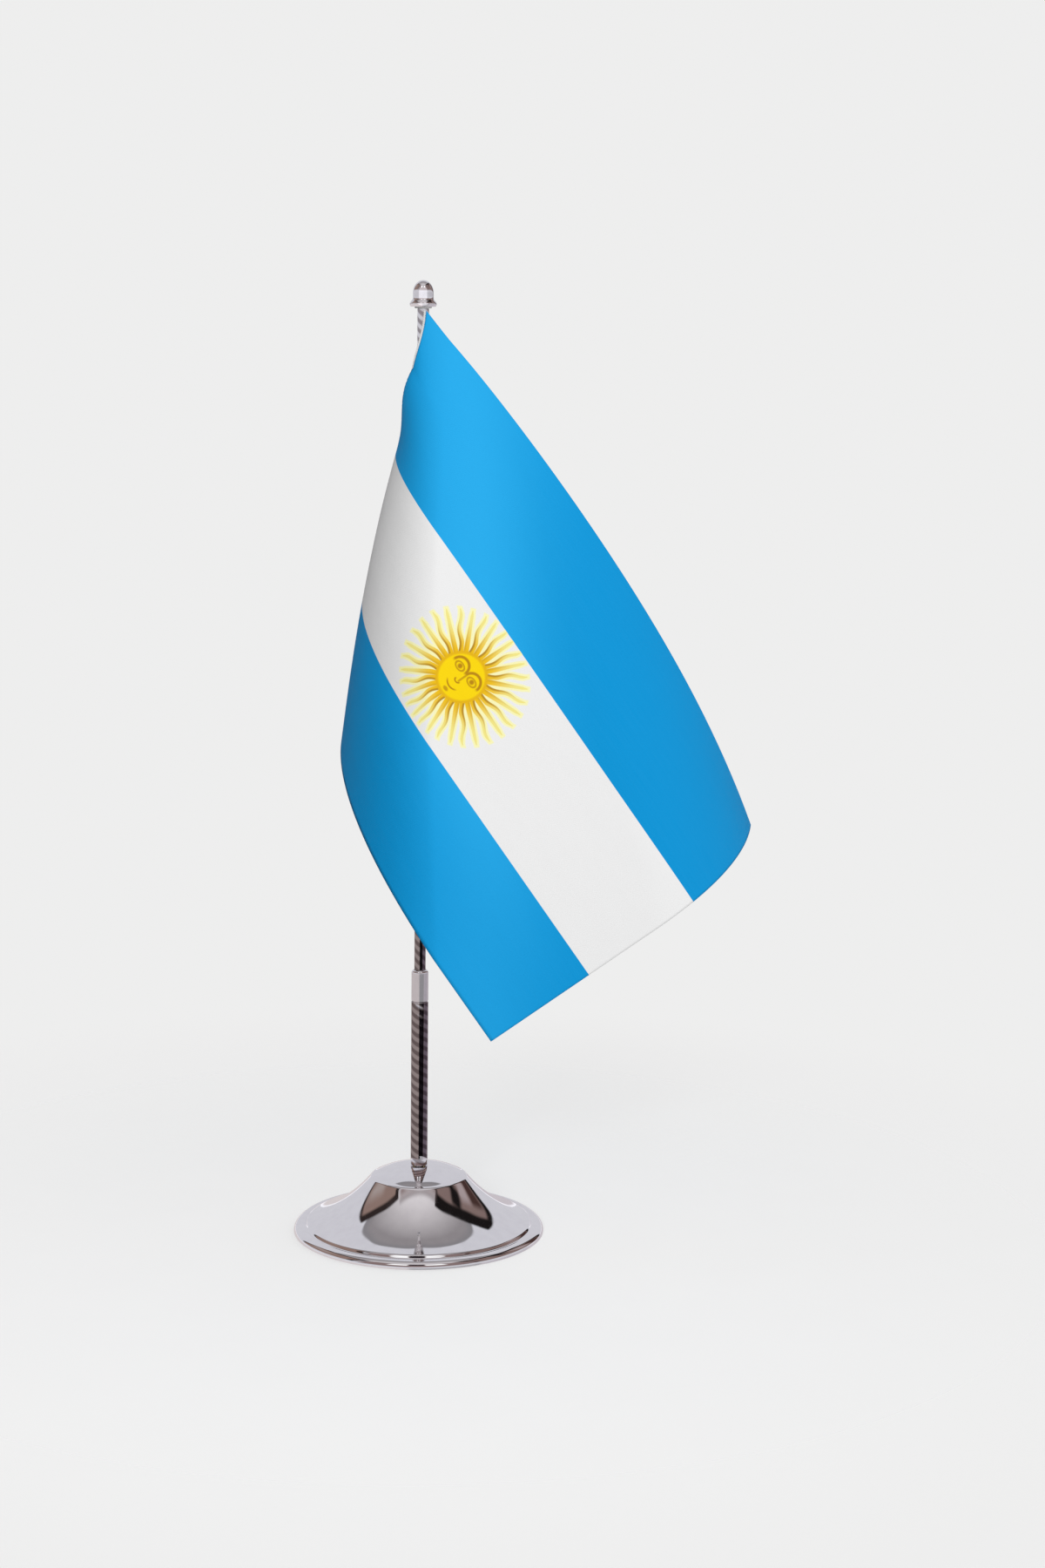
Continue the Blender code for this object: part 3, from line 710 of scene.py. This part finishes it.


# %% [markdown]
# ## Satin and its printed sun
#
# The cloth is bright polyester satin. The weave floats its threads along the fly, so the
# light it catches spreads across them and the surface has a silky sheen; a soft slanting
# streak of lighter blue on the blue stripes is painted sheen in the colour. The stripes
# and the sun are dyed into the cloth, so they are colour only. The pattern is computed
# from the cloth's own UV map, in millimetres: u runs along the fly, v up the hoist.

# %% The stripes, the painted sheen and the weave
MM = 1000.0
BLUE = (0.0030, 0.300, 0.675, 1.0)
# Lighter blue of the painted sheen on the blue stripes.
PAINTED_SHEEN_BLUE = (0.022, 0.420, 0.850, 1.0)
WHITE = (0.86, 0.86, 0.862, 1.0)
SUN_AT = (104.9, 67.0)
DISC_RADIUS = 9.1
# Place and width of the painted sheen's slanting streak, in millimetres.
SHEEN_BAND_AT, SHEEN_BAND_WIDTH = 10.0, 24.0
WARP_PITCH, WEFT_PITCH = 0.30, 0.75
RAY_TIP = 24.6
FACE_SIZE = 1.36


def flag_places(tree, place):
    """Millimetres along the fly and down the hoist."""
    u, v, _ = tree.split(place["UV"])
    return tree.times(u, FLAG_FLY * MM), tree.times(tree.less(1.0, v), FLAG_HOIST * MM)


def soft_below(tree, value, edge, soft):
    """1 where value is under edge, with a soft border. The edge may be a number or an output."""
    if isinstance(edge, bpy.types.NodeSocket):
        return tree.ramp(value, tree.less(edge, soft), tree.add(edge, soft), 1.0, 0.0)
    return tree.ramp(value, edge - soft, edge + soft, 1.0, 0.0)


# %% [markdown]
# The sun has thirty-two rays, straight and wavy by turns. One formula draws them all:
# the angle round the disc is folded into a single ray's sector, and the distance from
# that ray's middle line gives a slim petal. A wavy ray bends its middle line with a
# sine, and both get a pale yellow border and a golden shadow at the root. The rays that
# point across the stripe are a little shorter, so that they stay on the white.

# %% The rays
RAYS = 32
TIP_SQUEEZE = 2.6
RAY_BEND = 0.42
BENDS_PER_MM = 0.62
PALE_BORDER = 0.75
TIP_BORDER = 0.9
ROOT_SHADE = 5.5


def sun_rays(tree, radius, angle):
    """Masks for the petals, their pale borders and the golden shade at their roots."""
    sector = 2 * pi / RAYS
    across = tree.math("POWER", tree.math("SINE", angle), 2.0)
    tip = tree.less(RAY_TIP, tree.times(across, TIP_SQUEEZE))
    turns = tree.over(angle, sector)
    number = tree.math("ROUND", turns)
    wavy = tree.math("ABSOLUTE", tree.math("SINE", tree.times(number, pi / 2)))
    offset = tree.times(tree.less(turns, number), sector)
    swing = tree.math("SINE", tree.times(tree.less(radius, DISC_RADIUS), BENDS_PER_MM))
    bend = tree.times(tree.times(wavy, RAY_BEND), swing)
    side = tree.add(tree.times(offset, radius), bend)
    reach = tree.over(tree.less(radius, DISC_RADIUS), tree.less(tip, DISC_RADIUS))
    blunt_end = tree.times(tree.ramp(reach, 0.85, 1.0), 0.30)
    half = tree.less(tree.ramp(reach, 0.0, 0.9, 0.92, 0.52), blunt_end)
    off = tree.math("ABSOLUTE", side)
    on_ray = tree.times(soft_below(tree, off, half, 0.16), soft_below(tree, radius, tip, 0.35))
    border = tree.times(
        soft_below(tree, off, tree.add(half, PALE_BORDER), 0.20),
        soft_below(tree, radius, tree.add(tip, TIP_BORDER), 0.35),
    )
    near_root = tree.times(soft_below(tree, reach, 0.52, 0.38), tree.add(0.35, tree.times(wavy, 0.65)))
    shade = tree.times(tree.ramp(side, -0.15, 0.45), near_root)
    root = soft_below(tree, radius, DISC_RADIUS + ROOT_SHADE, ROOT_SHADE)
    return on_ray, border, shade, root


# %% [markdown]
# The face is a plain one: two eyes under round brows, a straight nose and a small mouth,
# drawn with thin soft lines. Each feature is a ring, a dot or a short line, given by its
# distance from a point.

# %% The face
def sun_face(tree, x, y):
    """Mask of the face's lines. x is to its right and y is up, in millimetres."""

    def away(cx, cy, squash=1.0):
        dx, dy = tree.less(x, cx), tree.times(tree.less(y, cy), squash)
        return tree.math("SQRT", tree.add(tree.times(dx, dx), tree.times(dy, dy)))

    def ring(distance, radius, width):
        off = tree.math("ABSOLUTE", tree.less(distance, radius))
        return tree.ramp(off, width * 0.3, width, 1.0, 0.0)

    lines = None
    upper = tree.ramp(y, 0.6, 1.6)
    for sidewise in (-1, 1):
        cx = 2.55 * sidewise
        brow = tree.times(ring(away(cx, 1.3), 2.35, 0.55), upper)
        lid = tree.times(ring(away(cx, 1.3, 1.5), 1.40, 0.42), 0.8)
        pupil = tree.ramp(away(cx, 1.35), 0.35, 0.95, 1.0, 0.0)
        for part in (brow, lid, pupil):
            lines = part if lines is None else tree.math("MAXIMUM", lines, part)
    nose_side = tree.math("ABSOLUTE", tree.less(x, 0.35))
    nose = tree.times(tree.ramp(nose_side, 0.12, 0.4, 1.0, 0.0), tree.within(y, -1.4, 1.6, 0.3))
    nostril = tree.times(ring(away(0.0, -1.3, 1.3), 0.75, 0.35), soft_below(tree, y, -1.2, 0.3))
    mouth = tree.times(ring(away(0.0, -1.9, 1.1), 2.2, 0.34), soft_below(tree, y, -3.2, 0.5))
    lip = tree.ramp(away(0.0, -5.0, 1.7), 0.5, 1.1, 0.8, 0.0)
    for part in (tree.times(nose, 0.75), nostril, mouth, lip):
        lines = tree.math("MAXIMUM", lines, part)
    return lines


# %% Colours of the sun
# Lighter blue of the painted glint streaks on the blue stripes.
PAINTED_GLINT_BLUE = (0.05, 0.40, 0.80, 1.0)
PALE_EDGE = (0.96, 0.93, 0.50, 1.0)
RAY_YELLOW = (0.90, 0.80, 0.26, 1.0)
ROOT_GOLD = (0.86, 0.52, 0.012, 1.0)
RAY_SHADE = (0.50, 0.27, 0.02, 1.0)
DISC_YELLOW = (0.97, 0.69, 0.006, 1.0)
DISC_EDGE = (0.80, 0.47, 0.012, 1.0)
FACE_BROWN = (0.50, 0.25, 0.010, 1.0)


# %% The satin itself
def satin():
    made, tree, shader, place = new_material("Striped satin")
    along, down = flag_places(tree, place)
    third = FLAG_HOIST * MM / 3
    in_white = tree.within(down, third, 2 * third, 0.10)
    fall = tree.less(tree.times(along, cos(STRIPE_FALL)), tree.times(down, sin(STRIPE_FALL)))
    # Painted sheen: a soft slanting streak of lighter blue, weaker towards the bottom, stands in for the
    # satin catching the light.
    from_sheen_band = tree.over(tree.less(fall, SHEEN_BAND_AT), SHEEN_BAND_WIDTH)
    sheen_band = tree.math("EXPONENT", tree.times(tree.math("POWER", from_sheen_band, 2.0), -1.0))
    low = tree.ramp(down, 70.0, 120.0, 1.0, 0.45)
    blue = tree.mix(tree.times(sheen_band, low), BLUE, PAINTED_SHEEN_BLUE)
    shine = tree.noise(tree.join(tree.times(along, 0.05), tree.times(down, 2.2)), 1.0, 3.0)
    # Painted glint: faint streaks along the fly are tinted toward a lighter blue; the same noise also varies
    # the roughness.
    blue = tree.mix(tree.ramp(shine, 0.3, 0.7, 0.0, 0.05), blue, PAINTED_GLINT_BLUE)
    cloth = tree.mix(in_white, blue, WHITE)

    x, y = tree.less(along, SUN_AT[0]), tree.less(SUN_AT[1], down)
    radius = tree.math("SQRT", tree.add(tree.times(x, x), tree.times(y, y)))
    angle = tree.math("ARCTAN2", y, x)
    on_ray, border, shade, root = sun_rays(tree, radius, angle)
    ray = tree.mix(root, RAY_YELLOW, ROOT_GOLD)
    ray = tree.mix(shade, ray, RAY_SHADE)
    cloth = tree.mix(tree.times(border, in_white), cloth, PALE_EDGE)
    cloth = tree.mix(tree.times(on_ray, in_white), cloth, ray)
    on_disc = soft_below(tree, radius, DISC_RADIUS, 0.18)
    disc = tree.mix(tree.ramp(radius, DISC_RADIUS - 1.5, DISC_RADIUS - 0.5), DISC_YELLOW, DISC_EDGE)
    face = sun_face(tree, tree.over(x, FACE_SIZE), tree.over(y, FACE_SIZE))
    disc = tree.mix(face, disc, FACE_BROWN)
    cloth = tree.mix(on_disc, cloth, disc)
    tree.feed(shader["Base Color"], cloth)

    warp = tree.math("SINE", tree.times(down, 2 * pi / WARP_PITCH))
    slanting = tree.add(along, tree.times(down, 0.5))
    weft = tree.math("SINE", tree.times(slanting, 2 * pi / WEFT_PITCH))
    floats = tree.add(warp, tree.times(weft, 0.35))
    creases = tree.noise(tree.join(tree.times(along, 0.035), tree.times(down, 0.06)), 1.0, 2.0)
    soft = tree.bump(creases, 0.0004)
    tree.feed(shader["Normal"], tree.bump(floats, 0.000012, before=soft))
    tree.feed(shader["Roughness"], tree.ramp(shine, 0.25, 0.75, 0.50, 0.60))
    shader["Specular IOR Level"].default_value = 0.10
    shader["Anisotropic"].default_value = 0.5
    return made


striped_satin = satin()
print("stripes", round(FLAG_HOIST * MM / 3, 1), "mm wide")

# %% [markdown]
# ## The flag's sheet
#
# The sheet starts as a bmesh grid, and each of its rows is moved onto its thread. The
# grid is fine enough that the fold has no corners. Solidify then gives the cloth its
# thickness, and the UV map keeps every point's place on the flat flag.

# %% Lay the threads
ACROSS, ROWS = 230, 130
ROWS_NEAR_TOP = 1.5
CLOTH_THICK = 0.0004


def lay_flag():
    bm = bmesh.new()
    bmesh.ops.create_grid(bm, x_segments=ACROSS, y_segments=ROWS, size=0.5)
    uv = bm.loops.layers.uv.new("flat")
    places = [HEM_BACK + (FLAG_FLY - HEM_BACK) * i / ACROSS for i in range(ACROSS + 1)]
    column = {}
    flat = {}
    for vert in bm.verts:
        i, t = round((vert.co.x + 0.5) * ACROSS), 0.5 - vert.co.y
        w = FLAG_HOIST * min(max(t, 0.0), 1.0) ** ROWS_NEAR_TOP
        key = round(w, 7)
        if key not in column:
            column[key] = laid_row(w, places)
        flat[vert] = (places[i] / FLAG_FLY, 1 - w / FLAG_HOIST)
        vert.co = curled(column[key][i], places[i], w)
    for face in bm.faces:
        for loop in face.loops:
            loop[uv].uv = flat[loop.vert]
    bmesh.ops.recalc_face_normals(bm, faces=bm.faces[:])
    return finished("satin_flag", bm, striped_satin, radians(180))


# %% Give the cloth its thickness
satin_flag = lay_flag()
thicken = satin_flag.modifiers.new("thickness", "SOLIDIFY")
thicken.thickness = CLOTH_THICK
thicken.offset = 0
satin_flag.visible_glossy = False
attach(satin_flag, "flag")
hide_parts("flag_cloth")

# %% [markdown]
# ## The corded heading and its ties
#
# A twisted white cord is sewn along the hoist, and two loops of thread tie it to the
# rod. Each is a real twist: three strands that wind round a middle line, made as rings
# of a round section bridged into one mesh.

# %% White thread
def white_thread():
    made, tree, shader, place = new_material("White thread")
    fibres = tree.noise(place["Object"], 4000.0, 4.0, 0.7)
    tree.feed(shader["Base Color"], tree.mix(fibres, (0.62, 0.62, 0.61, 1), (0.86, 0.86, 0.85, 1)))
    tree.feed(shader["Roughness"], tree.ramp(fibres, 0.3, 0.7, 0.6, 0.85))
    shader["Sheen Weight"].default_value = 0.3
    tree.feed(shader["Normal"], tree.bump(fibres, 0.00008))
    return made


thread_white = white_thread()


# %% Twisted cords
STRAND_SHARE = 0.48


def twisted(name, path, radius, pitch, closed=False, strands=3, sides=8):
    """Strands wound round a path. Each ring of each strand is bridged to the next."""
    bm = bmesh.new()
    count = len(path)
    total = length_of(path + path[:1] if closed else path)
    winds = round(total / pitch) if closed else total / pitch
    strand_radius = radius * STRAND_SHARE
    for strand in range(strands):
        rings = []
        walked = 0.0
        for i, point in enumerate(path):
            ahead = path[(i + 1) % count] if closed or i < count - 1 else point
            behind = path[i - 1] if closed or i > 0 else point
            run = (ahead - behind).normalized()
            up = Vector((0, 0, 1)) if abs(run.z) < 0.9 else Vector((0, 1, 0))
            side = run.cross(up).normalized()
            other = side.cross(run)
            if i:
                walked += (point - path[i - 1]).length
            turn = 2 * pi * (winds * walked / total + strand / strands)
            centre = point + (radius - strand_radius) * (cos(turn) * side + sin(turn) * other)
            circle = bmesh.ops.create_circle(bm, segments=sides, radius=strand_radius)["verts"]
            facing = Matrix((side, other, -run)).transposed().to_4x4()
            bmesh.ops.transform(bm, verts=circle, matrix=Matrix.Translation(centre) @ facing)
            rings.append(bm.edges[-sides:])
        pairs = list(zip(rings, rings[1:])) + ([(rings[-1], rings[0])] if closed else [])
        for a, b in pairs:
            bmesh.ops.bridge_loops(bm, edges=a + b)
        if not closed:
            bmesh.ops.holes_fill(bm, edges=rings[0] + rings[-1])
    bmesh.ops.recalc_face_normals(bm, faces=bm.faces[:])
    return finished(name, bm, thread_white, radians(60))


# %% The corded heading
TAPE_INSET = 0.0006
TAPE_STEPS = 260
CORD_RADIUS, CORD_TWIST = 0.00045, 0.0022
tape_run = FLAG_HOIST - 2 * TAPE_INSET
tape_path = [hoist_point(TAPE_INSET + tape_run * i / TAPE_STEPS) for i in range(TAPE_STEPS + 1)]
hoist_cord = twisted("hoist_cord", tape_path, CORD_RADIUS, CORD_TWIST)
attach(hoist_cord, "flag")
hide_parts("hoist_tape")

# %% The two ties
TIE_STEPS = 72
TIE_TWIST = 0.0019
for name, node in (("top_thread_loop", "top_tie"), ("bottom_thread_loop", "bottom_tie")):
    low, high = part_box(node)
    tie_radius = (high.z - low.z) / 2
    loop_radius = high.x - tie_radius
    turns = [2 * pi * i / TIE_STEPS for i in range(TIE_STEPS)]
    middle = (low.z + high.z) / 2
    loop = [Vector((loop_radius * cos(t), loop_radius * sin(t), middle)) for t in turns]
    tie = twisted(name, loop, tie_radius, TIE_TWIST, closed=True)
    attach(tie, "flag")
    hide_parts(node)

print("flat size", FLAG_HOIST, "x", FLAG_FLY)


# %% [markdown]
# ## The room
#
# Chrome has no look of its own: it shows the room. So the room is painted as a function
# of direction, with soft-edged panels: pale walls, a brown window to the left, a dark
# framed one to the right, and a dim patch of ceiling behind. A Light Path switch shows
# the camera a plain pale ground instead, and lights cloth and floor with soft walls:
# dim to the left, where the flag's fold falls into shade, and bright to the right.

# %% Directions in the room
BACKGROUND = (0.855, 0.855, 0.853, 1.0)
room = bpy.data.worlds.new("Studio")
bpy.context.scene.world = room
room.use_nodes = True
tree = Tree(room.node_tree)
x, y, z = tree.split(tree.node("ShaderNodeTexCoord").outputs["Generated"])
around = tree.times(tree.math("ARCTAN2", x, tree.times(y, -1.0)), 180 / pi)
height = tree.times(tree.math("ARCSINE", z), 180 / pi)
print("directions in degrees, background", BACKGROUND[:3])


def panel(colour, low_turn, high_turn, low, high, soft, heights, under):
    """Paints one soft-edged panel over what is already there. Angles are in degrees."""
    mask = tree.times(tree.within(around, low_turn, high_turn, soft), tree.within(heights, low, high, soft))
    return tree.mix(mask, under, (*colour, 1.0))


# %% Walls and ceiling
back_turn = tree.less(180.0, tree.math("ABSOLUTE", around))
ceiling_edge = tree.less(66.0, tree.times(tree.math("MINIMUM", back_turn, 80.0), 0.28))
above = tree.less(height, ceiling_edge)
forward = tree.times(y, -1.0)
shade_of_ceiling = tree.node("ShaderNodeMapRange")
for socket, value in zip(shade_of_ceiling.inputs[:5], (forward, -0.25, 0.40, 0.0, 1.0)):
    tree.feed(socket, value)
ceiling = tree.mix(shade_of_ceiling.outputs[0], (0.275, 0.255, 0.262, 1), (0.69, 0.655, 0.665, 1))
ceiling = tree.mix(tree.ramp(above, 1.0, 9.0, 1.0, 0.0), ceiling, (0.235, 0.225, 0.235, 1))
walls = tree.mix(tree.ramp(above, -1.5, 1.0), (0.615, 0.61, 0.65, 1), ceiling)
walls = panel((0.42, 0.39, 0.40), -60, 60, 60, 64, 2.0, height, walls)


# %% Windows, desk and small bright panels
WINDOW_SINK = 0.0032


def sunk(peak_turn):
    """Height measured from a window's top edge, which sinks away from its highest corner."""
    off = tree.less(around, peak_turn)
    return tree.add(height, tree.times(tree.times(off, off), WINDOW_SINK))


left_sill, right_sill = sunk(-65.0), sunk(60.0)
window_panels = (
    # colour, turn from, turn to, height from, height to, softness, heights
    ((0.028, 0.020, 0.019), -128, -62, 20, 59.5, 1.2, left_sill),
    ((0.26, 0.178, 0.152), -125, -70, 18, 54.0, 1.5, left_sill),
    ((0.37, 0.31, 0.29), -122, -98, 34, 44.0, 6.0, left_sill),
    ((0.010, 0.008, 0.008), 56, 146, 20, 66.5, 1.2, right_sill),
    ((0.215, 0.150, 0.138), 62, 141, 18, 57.0, 1.8, right_sill),
    ((0.060, 0.032, 0.028), 128, 140, 20, 50.0, 3.0, right_sill),
    ((0.38, 0.31, 0.31), 112, 126, 30, 50.0, 4.0, right_sill),
    ((0.010, 0.008, 0.008), 95, 111, 37, 52.0, 3.5, height),
    ((0.235, 0.17, 0.165), -58, 58, 18, 60, 6.0, height),
    ((0.27, 0.222, 0.213), -185, 50, -95, -2, 1.5, height),
    ((0.18, 0.14, 0.16), 50, 185, -95, -2, 1.5, height),
    ((0.115, 0.090, 0.115), 66, 118, -95, -2, 6.0, height),
    ((0.009, 0.007, 0.009), -6, 60, -95, -2, 3.0, height),
    ((1.05, 1.05, 1.05), -32, -10, 42, 58, 2.0, height),
    ((1.05, 1.05, 1.05), 10, 32, 42, 58, 2.0, height),
    ((0.010, 0.006, 0.010), -9, 9, 42, 58, 1.5, height),
)
for colour, low_turn, high_turn, low, high, soft, heights in window_panels:
    walls = panel(colour, low_turn, high_turn, low, high, soft, heights, walls)
print(len(window_panels), "panels in the room")

# %% What each kind of ray sees
rays = tree.node("ShaderNodeLightPath").outputs
side_walls = tree.mix(tree.ramp(x, -0.9, 0.9), grey(0.07), grey(0.70))
back_wall = tree.mix(tree.ramp(y, 0.05, 0.8), grey(0.0), grey(0.45))
soft_walls = tree.mix(1.0, side_walls, back_wall, blend="ADD")
lit = tree.mix(rays["Is Diffuse Ray"], walls, soft_walls)
background = room.node_tree.nodes["Background"]
tree.feed(background.inputs["Color"], tree.mix(rays["Is Camera Ray"], lit, BACKGROUND))
print("room wired with", len(room.node_tree.nodes), "nodes")

# %% [markdown]
# ## Floor, light and camera
#
# The floor is a pale disc that fades out before its edge, so it melts into the ground
# behind. It is lifted by a glow of its own, and neither mirrors nor cloth see it. One
# broad soft light stands in front, and the camera looks slightly down on the stand from
# a metre away.

# %% The floor
FLOOR_GLOW = 0.478
FLOOR_RADIUS = 0.45
FADE_FROM, FADE_TO = 0.08, 0.34


def pale_floor():
    made, tree, shader, place = new_material("Pale floor")
    x, y, z = tree.split(place["Object"])
    radius = tree.math("SQRT", tree.add(tree.times(x, x), tree.times(y, y)))
    mottle = tree.noise(place["Object"], 30.0)
    tree.feed(shader["Base Color"], tree.mix(mottle, grey(0.49), grey(0.51)))
    shader["Emission Color"].default_value = grey(1.0)
    shader["Emission Strength"].default_value = FLOOR_GLOW
    shader["Roughness"].default_value = 0.9
    shader["Specular IOR Level"].default_value = 0.0
    tree.feed(shader["Alpha"], tree.ramp(radius, FADE_FROM, FADE_TO, 1.0, 0.0))
    return made


bm = bmesh.new()
bmesh.ops.create_circle(bm, cap_ends=True, cap_tris=False, segments=96, radius=FLOOR_RADIUS)
floor = finished("desk_top", bm, pale_floor())
floor.visible_glossy = False
floor.visible_diffuse = False


# %% [markdown]
# The pole mirrors a dark desk, but the base lies on a pale mat and mirrors that. Clear
# cards add its glow: one lies flat for the base and the finial, a weaker one for the
# ferrule, and one stands in front for the finial. Light linking lets only those parts
# see them.

# %% Glowing cards that only some parts mirror
def glow(strength):
    made, tree, _, _ = new_material(f"Glow {strength:.2f}")
    clear = tree.node("ShaderNodeBsdfTransparent")
    emission = tree.node("ShaderNodeEmission")
    emission.inputs["Color"].default_value = (1.0, 0.985, 1.02, 1.0)
    emission.inputs["Strength"].default_value = strength
    both = tree.node("ShaderNodeAddShader")
    tree.feed(both.inputs[0], clear.outputs[0])
    tree.feed(both.inputs[1], emission.outputs[0])
    tree.feed(made.node_tree.nodes["Material Output"].inputs["Surface"], both.outputs[0])
    return made


def glow_card(name, matrix, size, strength, parts):
    bm = bmesh.new()
    bmesh.ops.create_circle(bm, cap_ends=True, segments=64, radius=size, matrix=matrix)
    card = finished(name, bm, glow(strength))
    card.visible_camera = False
    card.visible_diffuse = False
    card.visible_shadow = False
    seen_by = bpy.data.collections.new(name + " seen by")
    for part in parts:
        seen_by.objects.link(part)
    card.light_linking.receiver_collection = seen_by


MAT_RADIUS = 4.0
FRONT_RADIUS = 2.2
flat = Matrix.Translation((0, 0, -0.002))
glow_card("mat_glow", flat, MAT_RADIUS, 0.40, (base_bell, bell_finial))
flat_below = Matrix.Translation((0, 0, -0.004))
glow_card("ferrule_glow", flat_below, MAT_RADIUS, 0.26, (ferrule,))
upright = Matrix.Translation((-0.1, -2.0, 1.0)) @ Matrix.Rotation(radians(90), 4, "X")
glow_card("front_glow", upright, FRONT_RADIUS, 0.34, (bell_finial,))


# %% The light
LIGHT_PLACE = Vector((-0.15, -1.3, 0.60))
LIGHT_TARGET = Vector((0.03, 0, 0.18))
LIGHT_SIZE = 0.5
LIGHT_POWER = 12.4
lamp = bpy.data.objects.new("front_light", bpy.data.lights.new("front_light", "AREA"))
lamp.data.shape = "DISK"
lamp.data.size = LIGHT_SIZE
lamp.data.energy = LIGHT_POWER
lamp.location = LIGHT_PLACE
lamp.rotation_euler = (LIGHT_TARGET - LIGHT_PLACE).to_track_quat("-Z", "Y").to_euler()
lamp.visible_glossy = False
bpy.context.scene.collection.objects.link(lamp)
print("light", LIGHT_POWER, "W,", LIGHT_SIZE, "m across")

# %% The camera
CAMERA_TILT = radians(80.415)
CAMERA_ROLL = radians(0.626)
camera = bpy.data.objects.new("camera", bpy.data.cameras.new("camera"))
bpy.context.scene.collection.objects.link(camera)
camera.data.sensor_fit = "VERTICAL"
camera.data.sensor_height = 36
camera.data.lens = 66.106
camera.data.clip_start = 0.05
camera.location = (0.0358, -1.0, 0.3327)
look = Euler((CAMERA_TILT, 0, 0)).to_matrix() @ Matrix.Rotation(CAMERA_ROLL, 3, "Z")
camera.rotation_euler = look.to_euler()
bpy.context.scene.camera = camera
bpy.context.scene.view_settings.view_transform = "Standard"
print("camera at", rounded(camera.location))
